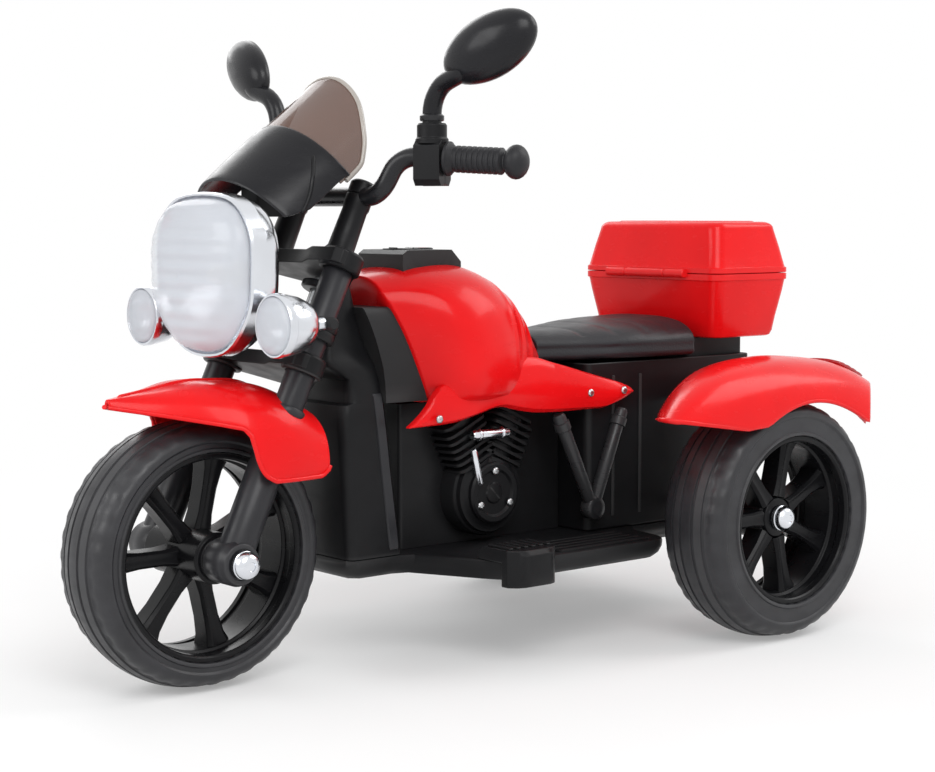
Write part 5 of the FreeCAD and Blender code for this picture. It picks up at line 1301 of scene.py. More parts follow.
@dataclass
class Screen:
    """The smoked windshield in its pale edging, and the black cowl in front of its foot."""

    radius: float = 78.0
    slope: float = 38.5
    half_wide: float = 75.0
    length: float = 163.0
    thick: float = 3.0
    cowl_length: float = 80.0
    tuck: float = 12.0
    lift: float = 7.0
    foot_ahead: float = 45.0
    edge: Points = ((1.0, 0.56), (0.985, 0.64), (0.9, 0.76), (0.68, 0.9), (0.36, 0.976))
    cowl_rows: Points = ((0.0, 0.93), (0.06, 0.945), (0.3, 1.0), (0.6, 1.0), (0.93, 1.0), (0.97, 1.0),
                         (1.0, 1.0))
    ribs: Points = ((0.985, 0.2), (0.95, 0.42), (0.88, 0.64), (0.78, 0.84))

    def __post_init__(self) -> None:
        """Find the screen's frame at its foot: Z up along the slope and X out of its front."""
        low, high = box_of("headlight_shell")
        foot = Vector((low.x + self.foot_ahead, 0, high.z + self.lift))
        self.frame = Matrix.Translation(foot) @ Matrix.Rotation(math.radians(self.slope - 90), 4, "Y")

    def on_tube(self, across: float, along: float, outside: float) -> Vector:
        """A place on the screen's tube, or outside it, given across and up the slope."""
        radius = self.radius + outside
        return self.frame @ Vector((math.sqrt(radius ** 2 - across ** 2) - self.radius, across, along))

    def top_edge(self) -> Ring:
        """The screen's upper outline, as distance across and up the slope.

        Returns:
            The outline's points.
        """
        half = [Vector((self.half_wide * across, self.length * up)) for across, up in self.edge]
        other = [Vector((-spot.x, spot.y)) for spot in reversed(half)]
        return catmull(half + [Vector((0, self.length))] + other, 6)

    def build(self) -> None:
        """Build the sheet, its edging and the cowl."""
        edge, foot, rows = self.top_edge(), self.cowl_length - self.tuck, 14
        sheet = Draft().loft([[self.on_tube(spot.x, foot + (spot.y - foot) * row / rows, 0) for spot in edge]
                              for row in range(rows + 1)], closed=False)
        sheet.piece("windshield_sheet", Finishes.SMOKE, Body.STEERING, ["windshield"], wall=self.thick)
        ends = [Vector((side * self.half_wide, foot + 7.6)) for side in (1, -1)]
        rim = [self.on_tube(spot.x * 0.985, spot.y - 1.6, -self.thick / 2)
               for spot in [ends[0], *edge, ends[1]]]
        Draft().sweep(rim, 2.6, 12).piece("windshield_edging", Finishes.SCREEN_EDGE, Body.STEERING, sharp=60)
        self.build_cowl()

    def build_cowl(self) -> None:
        """Build the cowl with its stepped top lip, side ribs and the tab behind the lamp."""
        wide, lift, columns = self.half_wide * 1.03, self.thick + 0.2, 40
        rings = []
        for share, width in self.cowl_rows:
            proud = 0.0 if 0.1 < share < 0.95 else -0.8
            ring = []
            for column in range(columns + 1):
                across = wide * width * math.sin(math.radians(90 * (2 * column / columns - 1)))
                crown = 3 * (1 - (across / wide) ** 2) * share
                ring.append(self.on_tube(across, self.cowl_length * share + crown, lift + proud))
            rings.append(ring)
        Draft().loft(rings, closed=False).piece(
            "windshield_cowl_skin", Finishes.GLOSS_BLACK, Body.STEERING, ["windshield_cowl"], wall=self.thick,
            levels=1)
        trim = Draft()
        for sign in (1, -1):
            line = [self.on_tube(sign * wide * across, self.cowl_length * up, lift)
                    for across, up in self.ribs]
            trim.sweep(catmull(line, 5), [0.8] + [2.0] * 14 + [0.8], 10)
        low, high = box_of("windshield_cowl")
        tab = axis_frame(Vector(((low.x + high.x) / 2, 0, box_of("headlight_shell")[1].z - 12)), UP)
        trim.slab(rounded_rect(16, 14, 4), -14, 34, tab)
        trim.piece("windshield_ribs", Finishes.BLACK, Body.STEERING, bevel=0.8)


@dataclass
class FrontFender:
    """The beaked front fender with a skirt round the fork."""

    floor: float = 12.0
    squareness: float = 3.0
    wall: float = 4.0
    stations: Stations = (
        (88, 7.5, 148), (48, 40.5, 154), (11, 72, 160), (-16, 89, 160), (-54, 92, 156), (-98, 85, 134))
    edge: Points = (
        (93, 141), (50, 133), (11, 125), (-6, 121), (-11, 114), (-17, 88), (-23, 78), (-33, 72), (-88, 72),
        (-96, 77), (-101, 86))
    columns: int = 36

    def build(self) -> None:
        """Loft the shell, roll its lower edge and lay a rib down its middle."""
        axle = middle_of("front_tyre")
        spine = catmull([Vector(station) for station in self.stations], 12)
        lower = [Vector(spot) for spot in self.edge]
        rings = []
        for ahead, half, rise in spine:
            low = min(level_at(lower, ahead), rise - 3)
            section = arch(half, self.floor, rise, low, self.squareness, self.columns)
            rings.append([axle + Vector((ahead, y, z)) for y, z in section])
        shell = Draft().loft(rings, closed=False)
        shell.piece("front_fender_shell", Finishes.RED, Body.STEERING, ["front_fender"], wall=self.wall,
                    levels=1)
        beads = Draft()
        for sign in (1, -1):
            edge = [Vector((ring[0].x, sign * (ring[0].y - 1.2), ring[0].z + 1.0)) for ring in rings]
            beads.sweep(edge, 2.2, 10)
        rib = [axle + Vector((ahead, 0, rise - 0.6)) for ahead, half, rise in spine[4:-4]]
        beads.sweep(rib, [0.6] + [2.4] * (len(rib) - 2) + [0.6], 12)
        beads.piece("front_fender_beads", Finishes.RED, Body.STEERING, sharp=60)


@dataclass
class Floor:
    """The floor pan with its ribbed boards, the foot pegs and the pedal."""

    rib_wide: float = 4.0
    pad_ends: Span = (-135.0, -9.0)
    pad_sides: Span = (90.0, 144.0)
    pad_tall: float = 2.0
    corner: float = 22.0
    nose_half: float = 50.0
    tail_half: float = 72.0
    pedal_pitch: float = -10.0
    pin_in: float = 3.0
    pin_up: float = 7.0
    battery_gap: float = 4.4
    peg_inner: float = 114.0
    peg_ends: Points = ((0.0, 15.0), (8.0, 6.5), (15.0, 1.5), (20.0, 0.0))

    def build(self) -> None:
        """Build the pan, the pegs and the pedal."""
        self.build_pan()
        self.build_pegs()
        self.build_pedal()

    def deck(self) -> float:
        """Height of the boards, which the battery's feet stand over."""
        return box_of("battery")[0].z - self.battery_gap

    def outline(self, inset: float) -> Outline:
        """The pan's outline, drawn in by an inset.

        Args:
            inset: How far the outline is drawn in.

        Returns:
            The outline's points.
        """
        low, high = box_of("floor_pan")
        front, back, side = high.x, low.x + 206, (high.y - low.y) / 2 - inset
        nose, tail, corner = self.nose_half - inset, self.tail_half - inset, self.corner
        left = [(front - inset, nose - 8), (front - inset - 8, nose), (front - 58, nose),
                (front - 74, nose + 6), (front - 108, side - 24), (front - 117, side - 9),
                (front - 132, side)]
        for step in range(6):
            angle = math.radians(90 * step / 5)
            left.append((back + corner * (1 - math.sin(angle)) + inset * 0.5,
                         side - corner * (1 - math.cos(angle))))
        left += [(back - 8 + inset, tail + 18), (back - 22 + inset, tail), (low.x + 6 + inset, tail),
                 (low.x + inset, tail - 6)]
        return both_sides(left)

    def build_pan(self) -> None:
        """Raise the pan, its kerb and the ribs under the rider's feet."""
        base, deck = box_of("floor_pan")[0].z, self.deck()
        levels = ((base, 10.0), (base + 5, 4.0), (base + 12, 0.6), (deck - 3, 0.0), (deck - 0.8, 0.8),
                  (deck, 2.6))
        draft = Draft().loft([[Vector((x, y, height)) for x, y in self.outline(inset)]
                              for height, inset in levels])
        draft.piece("floor_pan_tray", Finishes.BLACK, Body.CHASSIS, ["floor_pan"], sharp=40)
        (start, stop), (inner, outer), tall = self.pad_ends, self.pad_sides, self.pad_tall
        frame = axis_frame(Vector(((start + stop) / 2, (inner + outer) / 2, deck - 1)), UP)
        pads = Draft().slab(rounded_rect((stop - start) / 2, (outer - inner) / 2, 5), 0, tall + 0.8, frame)
        for index in range(5):
            rib = frame @ Matrix.Translation((0, (index - 2) * (outer - inner - 8) / 4, tall + 0.6))
            pads.slab(rounded_rect((stop - start) / 2 - 5, self.rib_wide / 2, 1.4, 3), 0, 0.7, rib)
        self.add_ears(pads.doubled(), deck)
        pads.piece("floor_pan_pads", Finishes.BLACK, Body.CHASSIS, bevel=0.5)

    def add_ears(self, draft: Draft, deck: float) -> None:
        """Add the two ears that hold the pedal's pin.

        Args:
            draft: The pads' draft.
            deck: Height of the boards.
        """
        low, high = box_of("pedal")
        pin = low.x + self.pin_in
        for across in (low.y + 0.2, high.y - 4.2):
            frame = axis_frame(Vector((pin, across, deck + self.pin_up)), LEFT)
            draft.turn([(3.1, 0), (6, 0), (6, 4), (3.1, 4)], frame, 28, loop=True)
            foot = axis_frame(Vector((pin, across + 2, deck - 1)), UP)
            draft.slab([(-6, -2), (6, -2), (6, 2), (-6, 2)], 0, 4.2, foot)

    def build_pegs(self) -> None:
        """Build the pair of ribbed pegs that hook over the boards' edges."""
        low, high = box_of("foot_pegs")
        base, inner, out = low.z + 23.2, self.peg_inner, high.y
        edge = out - 23.8
        section = [(inner, base), (edge, base), (edge, low.z), (out - 4, low.z), (out - 0.5, low.z + 5),
                   (out, low.z + 14), (out - 1, high.z - 7), (out - 6, high.z - 2.2),
                   (inner + 9, high.z - 2.2), (inner + 2, high.z - 7)]
        rings = [[Vector((low.x + along, min(y, out - pull), z)) for y, z in section]
                 for along, pull in self.peg_ends]
        rings += [[Vector((low.x + high.x - spot.x, spot.y, spot.z)) for spot in ring]
                  for ring in reversed(rings)]
        draft = Draft().loft(rings)
        for index in range(6):
            spot = Vector((low.x + 7 + index * (high.x - low.x - 14) / 5, (inner + out) / 2 - 2, high.z - 3))
            draft.slab(rounded_rect(2.6, (out - inner) / 2 - 13, 2.4, 4), 0, 3, axis_frame(spot, UP))
        draft.doubled().piece("foot_peg_pads", Finishes.BLACK, Body.CHASSIS, ["foot_pegs"], bevel=1.4)

    def build_pedal(self) -> None:
        """Build the hinged pedal plate with its tread bars."""
        low, high = box_of("pedal")
        width = high.y - low.y - 10
        hinge = Vector((low.x + self.pin_in, (low.y + high.y) / 2, self.deck() + self.pin_up))
        frame = Matrix.Translation(hinge) @ Matrix.Rotation(math.radians(self.pedal_pitch), 4, "Y")
        half = width / 2 - 0.6
        plate = both_sides([(-3, half), (52, half), (59, half - 3), (61, half - 9)])
        draft = Draft().slab(plate, -2.4, 1.2, frame)
        for index in range(7):
            bar = frame @ Matrix.Translation((9 + index * 7.4, 0, 0))
            draft.slab(rounded_rect(1.7, half - 4, 1.6, 3), 0.8, 2.4, bar)
        reach = width / 2 + 4
        draft.turn([(2, -reach), (3, 1 - reach), (3, reach - 1), (2, reach)], axis_frame(hinge, LEFT), 24)
        draft.piece("pedal_plate", Finishes.BLACK, Body.PEDAL, ["pedal"], bevel=0.6)


@dataclass
class LegShield:
    """The upright column between the floor and the steering head."""

    corner: float = 11.0
    front: Points = (
        (106.4, 179), (180, 183), (256, 187), (258, 178), (280, 176.5), (294, 196), (300, 201), (340, 184),
        (368, 171))
    rear: Points = ((106.4, 113), (200, 125), (288, 135), (330, 147), (368, 158))
    widths: Points = ((106.4, 50), (250, 49), (290, 45), (310, 34), (368, 26))
    heights: tuple[float, ...] = (
        106.4, 110, 130, 160, 190, 220, 245, 256, 258, 268, 280, 287, 294, 300, 310, 325, 345, 368)
    strip_heights: tuple[float, ...] = (112, 116, 150, 190, 230, 262, 266)
    collar_heights: Span = (203.8, 278.0)
    stem_behind: float = 35.0
    saddle_inset: float = 3.4
    saddle_top: float = 349.0
    saddle_lift: float = 4.5
    saddle_root: float = 6.0

    def __post_init__(self) -> None:
        """Turn the tables into lines."""
        self.lines = [[Vector(spot) for spot in table] for table in (self.front, self.rear, self.widths)]

    def build(self) -> None:
        """Loft the column, and lay the strips and the head tube's collars on it."""
        rings = []
        for height in self.heights:
            ahead, behind, half = (level_at(line, height) for line in self.lines)
            centre = Vector(((ahead + behind) / 2, 0, height))
            shape = rounded_rect((ahead - behind) / 2, half, min(self.corner, (ahead - behind) * 0.4), 5)
            rings.append([centre + Vector((x, y, 0)) for x, y in shape])
        draft = Draft().loft(rings)
        self.add_saddle(draft)
        draft.piece("front_cowl_column", Finishes.BLACK, Body.CHASSIS, ["front_cowl"], sharp=45)
        self.build_trim()

    def add_saddle(self, draft: Draft) -> None:
        """Fill the room between the column and the tank's raked nose.

        Args:
            draft: The column's draft.
        """
        tank, nose = Tank(), box_of("tank_cover")[1]
        _, share, drop = tank.stations[0]
        brow, inset = nose.z - tank.brow, self.saddle_inset
        at_column, at_tank = [], []
        for y, z in arch(tank.half_wide * share - inset, tank.bottom - tank.hidden, nose.z - drop - inset,
                         tank.bottom + self.saddle_lift, tank.squareness, 40):
            z = min(self.saddle_top, z)
            at_column.append(Vector((level_at(self.lines[1], z) + self.saddle_root, y * 0.92, z)))
            at_tank.append(Vector((nose.x - tank.lean * (brow - z) / (brow - tank.bottom) + 1.2, y, z)))
        draft.loft([at_column, at_tank])

    def build_trim(self) -> None:
        """Lay a raised strip along the rear edge of each side, and collars on the head tube."""
        rings = []
        for height in self.strip_heights:
            behind, half = (level_at(line, height) for line in self.lines[1:])
            tall = 0.4 if height in (self.strip_heights[0], self.strip_heights[-1]) else 1.6
            section = ((6, -2), (7.5, tall), (17, tall), (19, -2))
            rings.append([Vector((behind + x, half + y, height)) for x, y in section])
        trim = Draft().loft(rings).doubled()
        collar = [(11, 0), (19, 0), (21, 1.5), (21, 6.5), (19, 8), (11, 8)]
        for up in self.collar_heights:
            trim.turn(collar, Steering().frame(0, up, -self.stem_behind), 40, loop=True)
        trim.piece("front_cowl_strips", Finishes.GRAPHITE, Body.CHASSIS, bevel=0.6)


@dataclass
class Engine:
    """The mock engine below the tank, one half on each side."""

    case_radius: float = 45.0
    case_half: float = 56.0
    cover_radius: float = 31.0
    cover_out: float = 64.0
    spine: float = 30.0
    barrel_out: float = 34.0
    barrel_lean: float = 25.0
    barrel_radius: float = 22.0
    fin_half: float = 27.0
    fin_start: float = 36.0
    fin_pitch: float = 7.7
    fin_thick: float = 3.2
    fin_count: int = 7
    bar: Place = (16, 66, 219)
    rod: Stations = ((26, 63, 168), (27, 63, 170), (34, 62, 202), (35, 62, 204))
    crank: Vector = field(default_factory=lambda: Vector((7, 0, 158)))

    def build(self) -> None:
        """Build both halves and their bright trim."""
        self.build_halves()
        self.build_trim()

    def build_halves(self) -> None:
        """Build the halves: spine, crankcase, round cover, finned barrels and heads."""
        low, high = box_of("engine_left")
        spine = axis_frame(Vector(((low.x + high.x) / 2, 0, 0)), UP)
        shape = rounded_rect((high.x - low.x) / 2, self.spine - 0.2, 4)
        draft = Draft().slab([(x, max(y, 0.1)) for x, y in shape], low.z, high.z - 0.4, spine)
        case, cover, side, out = self.case_radius, self.cover_radius, self.case_half, self.cover_out
        draft.turn([(case, 0.2), (case, side - 9), (case - 1.5, side - 6), (case - 4, side - 5),
                    (case - 5, side), (cover + 5, side), (cover + 3, side + 1), (cover, side + 2),
                    (cover, out - 2), (cover - 2, out), (cover - 7, out), (cover - 9, out - 2.5),
                    (11, out - 2.5), (10, out - 1), (8, out - 0.5), (1, out - 0.5)],
                   axis_frame(self.crank, LEFT), 60)
        for lean in (self.barrel_lean, -self.barrel_lean):
            foot = Matrix.Translation(self.crank + LEFT * self.barrel_out)
            self.add_barrel(draft, foot @ Matrix.Rotation(math.radians(lean), 4, "Y"))
        draft.pair("engine", "moulding", Finishes.BLACK, Body.CHASSIS, bevel=0.7)

    def add_barrel(self, draft: Draft, frame: Matrix) -> None:
        """Add one barrel with its square fins and a head on top.

        Args:
            draft: The half's draft.
            frame: The barrel's frame at the crank.
        """
        radius = self.barrel_radius
        draft.turn([(radius + 4, 30), (radius + 4, 34), (radius, 36), (radius, 84)], frame, 36)
        for index in range(self.fin_count):
            base = self.fin_start + index * self.fin_pitch
            reach = self.fin_half - (2.5 if index == self.fin_count - 1 else 0.0)
            draft.slab(rounded_rect(reach, reach - 1, 8, 4), base, base + self.fin_thick, frame)

    def build_trim(self) -> None:
        """Add the bright bars: one under the tank, and the tube in front of the barrels."""
        bar = Vector(self.bar)
        draft = Draft().sweep([bar + AHEAD * along for along in (-24, -22, 22, 24)], [4.0, 5.2, 5.2, 4.0], 18)
        for along in (-15, 15):
            ring = axis_frame(bar + AHEAD * along, AHEAD)
            draft.turn([(5.6, -1.6), (6.2, -1), (6.2, 1), (5.6, 1.6)], ring, 22)
        draft.sweep([Vector(spot) for spot in self.rod], [2.6, 3.6, 3.6, 2.6], 16)
        draft.pair("engine", "bars", Finishes.CHROME, Body.CHASSIS, stands=False, sharp=50)


@dataclass
class Tank:
    """The tank cover, the panels below it, the dash on top and the screw heads."""

    bottom: float = 252.0
    hidden: float = 52.0
    half_wide: float = 98.0
    squareness: float = 2.6
    lean: float = 48.0
    waist: float = 34.0
    waist_in: float = 0.07
    brow: float = 16.0
    stations: Stations = (
        (0.0, 0.64, 10), (0.24, 1.0, 0), (0.52, 0.99, 0), (0.78, 0.8, 24), (1.0, 0.54, 72))
    strakes: tuple[float, ...] = (0.68, 0.77, 0.86)
    strake_height: float = 3.2
    strake_width: float = 0.014
    columns: int = 44
    panel_thick: float = 15.0
    panel_section: Points = (
        (0.0, 0.0), (0.55, 0.0), (0.86, 0.07), (0.98, 0.24), (1.0, 0.42), (0.93, 0.6), (0.84, 0.8),
        (0.66, 0.95), (0.45, 1.0), (0.0, 1.0))
    panel_top: Points = (
        (129, 233.8), (121, 239), (112, 246), (104, 254), (98, 263), (90, 270), (82, 273), (30, 284),
        (-23, 294.5), (-60, 287), (-114, 272.5), (-150, 263), (-169, 256.5), (-174.5, 252.5))
    panel_low: Points = (
        (129, 233), (110, 233.4), (92, 234), (74, 235.4), (58, 238.5), (44, 241.5), (28, 245.5), (15, 247),
        (4, 245.4), (-8, 242.4), (-30, 238.6), (-59, 237.2), (-100, 237.1), (-129, 237.6), (-155, 245.5),
        (-174.5, 251.2))

    def build(self) -> None:
        """Build the cover, both panels, the dash and the screws."""
        self.build_cover()
        self.build_panels()
        self.build_dash()
        self.build_screws()

    def build_cover(self) -> None:
        """Loft the tank with its raked front, tucked waist and the strakes on its shoulders."""
        low, high = box_of("tank_cover")
        floor = self.bottom - self.hidden
        rings = []
        for share, half, drop in catmull([Vector(station) for station in self.stations], 14):
            top = high.z - drop
            ceiling = top - self.brow
            ridge = sum(math.exp(-((share - place) / self.strake_width) ** 2) for place in self.strakes)
            ring = []
            for across, height in arch(half * self.half_wide, floor, top, self.bottom, self.squareness,
                                       self.columns):
                tuck = max(0.0, (self.bottom + self.waist - height) / self.waist)
                level = min(1.0, max(0.0, (height - self.bottom) / (top - self.bottom) - 0.25))
                proud = ridge * self.strake_height * max(0.0, math.sin(math.pi * level))
                below = max(0.0, (ceiling - height) / (ceiling - self.bottom))
                raked = self.lean * below * (1 - share) ** 2.2
                y = across * (1 - self.waist_in * tuck ** 2) + math.copysign(proud, across)
                ring.append(Vector((high.x - (high.x - low.x) * share - raked, y, height)))
            rings.append(ring)
        inner = [self.shrunk(rings[0], 0.93, -2.0), self.shrunk(rings[0], 0.98, -0.4)]
        outer = [self.shrunk(rings[-1], 0.98, 0.4), self.shrunk(rings[-1], 0.93, 2.0)]
        Draft().loft(inner + rings + outer).piece(
            "tank_cover_shell", Finishes.RED, Body.CHASSIS, ["tank_cover"], levels=1)

    @staticmethod
    def shrunk(ring: Ring, share: float, ahead: float) -> Ring:
        """A ring drawn in towards its middle and moved along X."""
        middle = sum(ring, Vector()) / len(ring)
        return [middle + (spot - middle) * share + Vector((-ahead, 0, 0)) for spot in ring]

    def build_panels(self) -> None:
        """Loft the side panels with a crowned face and a crease along it."""
        top, low = (catmull([Vector(spot) for spot in table], 6)
                    for table in (self.panel_top, self.panel_low))
        inner = box_of("side_panel_left")[0].y
        start, stop, count = top[0].x - 0.5, top[-1].x + 0.5, 64
        rings = []
        for index in range(count + 1):
            x = start + (stop - start) * index / count
            floor = level_at(low, x)
            tall = max(1.2, level_at(top, x) - floor)
            thick = self.panel_thick * min(1.0, 0.35 + tall / 26, 0.45 + 2.2 * index / count)
            rings.append([Vector((x, inner + thick * out, floor + tall * up))
                          for out, up in self.panel_section])
        Draft().loft(rings).pair("side_panel", "wing", Finishes.RED, Body.CHASSIS, bevel=0.5, sharp=50)

    def build_dash(self) -> None:
        """Dress the dash and its controls, and frame them with raised bezels."""
        dress("dash_panel", Finishes.BLACK, 1.6)
        dress("drive_switch", Finishes.GLOSS_BLACK, 0.4)
        dress("horn_button", Finishes.BUTTON, 0.6)
        rocker, button = middle_of("drive_switch"), middle_of("horn_button")
        rocker.z = button.z = box_of("dash_panel")[1].z
        opening, outside = rounded_rect(14.4, 8, 2), rounded_rect(17.4, 11, 4)
        draft = Draft().loft([[axis_frame(rocker, UP) @ Vector((x, y, z)) for x, y in shape] for shape, z in (
            (opening, -0.5), (opening, 1.2), (outside, 1.2), (outside, -0.5))], loop=True)
        draft.turn([(7.5, -0.5), (7.5, 1.4), (9, 1.8), (10.6, 1.2), (11, -0.5)], axis_frame(button, UP), 36,
                   loop=True)
        draft.piece("dash_bezels", Finishes.GRAPHITE, Body.CHASSIS, bevel=0.3)

    def build_screws(self) -> None:
        """Turn a pan head with a cross recess on each screw of the node."""
        draft = Draft()
        for low, high in loose_boxes("screws"):
            centre = (low + high) / 2
            sign = 1 if centre.y > 0 else -1
            foot = Vector((centre.x, low.y if sign > 0 else high.y, centre.z))
            radius = (high.z - low.z) / 2
            tall = high.y - low.y
            frame = axis_frame(foot, Vector((0, sign, 0)))
            draft.turn([(radius, 0), (radius, tall * 0.35), (radius * 0.8, tall * 0.85),
                        (radius * 0.45, tall), (radius * 0.05, tall)], frame, 24)
            for turn in (0, 90):
                slot = frame @ Matrix.Rotation(math.radians(turn), 4, "Z")
                draft.slab(rounded_rect(radius * 0.55, 0.45, 0.2, 2), tall * 0.9, tall * 1.02, slot)
        draft.piece("screw_heads", Finishes.STEEL, Body.CHASSIS, ["screws"], sharp=40)


def loose_boxes(node: str) -> list[tuple[Vector, Vector]]:
    """The boxes of a node's separate solids, in millimetres.

    Args:
        node: The node's name.

    Returns:
        Lowest and highest corner of each solid.
    """
    work = bmesh.new()
    work.from_mesh(bpy.data.objects[node].data)
    bmesh.ops.remove_doubles(work, verts=work.verts, dist=1e-6)
    seen: set[int] = set()
    boxes = []
    work.verts.ensure_lookup_table()
    for vertex in work.verts:
        if vertex.index in seen:
            continue
        island, edge = [], [vertex]
        seen.add(vertex.index)
        while edge:
            spot = edge.pop()
            island.append(spot.co / MM)
            for link in spot.link_edges:
                other = link.other_vert(spot)
                if other.index not in seen:
                    seen.add(other.index)
                    edge.append(other)
        low = Vector(min(spot[axis] for spot in island) for axis in range(3))
        high = Vector(max(spot[axis] for spot in island) for axis in range(3))
        boxes.append((low, high))
    work.free()
    return boxes


@dataclass
class Seat:
    """The hard moulded seat, with a pad raised from its base and channels across it."""

    nose: float = 48.0
    wide: float = 86.0
    squareness: float = 3.0
    hidden: float = 30.0
    stations: Stations = ((0.0, 0.0, 10), (0.28, 0.42, 9), (0.62, 0.955, 3), (1.0, 1.0, 0))
    columns: int = 40
    groove_height: float = 299.0
    channels: tuple[float, ...] = (0.3, 0.48, 0.66, 0.84)
    channel_depth: float = 1.6

    def build(self) -> None:
        """Loft the seat with the step between its base and its pad."""
        low, high = box_of("seat")
        base, seam = low.z, self.groove_height
        rings = []
        for share, grow, drop in catmull([Vector(station) for station in self.stations], 16):
            half = self.nose + (self.wide - self.nose) * grow
            channel = sum(math.exp(-((share - place) / 0.012) ** 2) for place in self.channels)
            ring = []
            for across, height in arch(half, base - self.hidden, high.z - drop, base, self.squareness,
                                       self.columns):
                pinch = 2.4 * math.exp(-((height - seam) / 2.2) ** 2) + (1.2 if height < seam else 0.0)
                sunk = self.channel_depth * channel if height > seam + 12 else 0.0
                x = high.x - (high.x - low.x) * share
                ring.append(Vector((x, across - math.copysign(pinch, across), height - sunk)))
            rings.append(ring)
        front = Tank.shrunk(rings[0], 0.94, 0)
        back = [Tank.shrunk(rings[-1], 0.98, -0.2), Tank.shrunk(rings[-1], 0.9, -1.2)]
        back = [[Vector((max(spot.x, low.x), spot.y, spot.z)) for spot in ring] for ring in back]
        pad = Draft().loft([front] + rings + back)
        pad.piece("seat_pad", Finishes.SEAT, Body.CHASSIS, ["seat"], levels=1)


@dataclass
class RearFrame:
    """The tub under the seat, with its ribs, V struts, box rack and charge inlet."""

    wall: float = 4.0
    half_wide: float = 72.0
    strut: float = 7.0
    rack_half: float = 60.0
    rib_places: tuple[float, ...] = (-150.0, -190.0, -320.0, -345.0)
    strut_foot: Span = (134.0, 26.0)
    strut_heads: Span = (184.0, 92.0)
    strut_rise: float = 127.8
    inlet: Span = (36.0, 180.0)

    def build(self) -> None:
        """Build the tub, its struts and the inlet, and dress what it holds."""
        low, high = box_of("rear_frame")
        base, back, wall = low.z, low.x, self.wall
        top, front = box_of("seat")[0].z - 0.2, box_of("battery")[1].x + wall + 0.2
        rib = [(-2, -1), (2, -1), (2, 0.9), (-2, 0.9)]
        draft = Draft()
        for place in self.rib_places:
            for side in (self.half_wide, -self.half_wide):
                draft.slab(rib, base + 14, top - 14, axis_frame(Vector((place, side, 0)), UP))
        rings = []
        for inset, height in ((1.5, base), (0, base + 2), (0, top - 1), (0.8, top), (wall, top),
                              (wall, base + 5)):
            shape = rounded_rect((front - back) / 2 - inset, self.half_wide - inset, 8 - inset, 4)
            rings.append([Vector((x + (front + back) / 2, y, height)) for x, y in shape])
        draft.loft(rings)
        rack = box_of("box_base")[1].x - 12
        shape = rounded_rect((rack - back) / 2, self.rack_half, 6, 4)
        draft.slab([(x + (rack + back) / 2, y) for x, y in shape], top - 4, high.z)
        draft.piece("rear_frame_tub", Finishes.BLACK, Body.CHASSIS, ["rear_frame"], bevel=1.0)
        self.build_struts(base)
        self.build_inlet()
        dress("battery", Finishes.GRAPHITE, 1.5)
        dress("motor", Finishes.STEEL, 0.6)

    def build_struts(self, base: float) -> None:
        """Run the V of two tubes on each side, from one foot up to the panels.

        Args:
            base: Height of the tub's underside.
        """
        rear, beside, strut = middle_of("rear_tyre_left").x, self.half_wide + self.strut * 0.6, self.strut
        foot = Vector((rear + self.strut_foot[0], beside, base + self.strut_foot[1]))
        draft = Draft()
        for ahead in self.strut_heads:
            head = Vector((rear + ahead, beside, base + self.strut_rise))
            along = (head - foot).normalized()
            draft.sweep([foot, foot + along * 3, head - along * 3, head], [5.5, strut, strut, 5.5], 18)
            draft.turn([(7.2, -5), (8.6, -4), (8.6, 4), (7.2, 5)], axis_frame(head - along * 14, along), 24)
        draft.turn([(11, -7), (12, -6), (12, 6), (11, 7), (5, 7.5), (1, 7.5)], axis_frame(foot, LEFT), 30)
        draft.doubled().piece("rear_frame_struts", Finishes.TUBE, Body.CHASSIS, sharp=45)

    def build_inlet(self) -> None:
        """Set the round charge inlet in the tub's back wall."""
        spot = Vector((box_of("rear_frame")[0].x + 1.4, *self.inlet))
        draft = Draft().turn([(2.8, -1), (2.8, 1.4), (3.6, 2.2), (8, 2.2), (9.2, 1), (9.4, -1)],
                             axis_frame(spot, -AHEAD), 36, loop=True)
        draft.piece("charge_inlet_ring", Finishes.GRAPHITE, Body.CHASSIS, sharp=40)


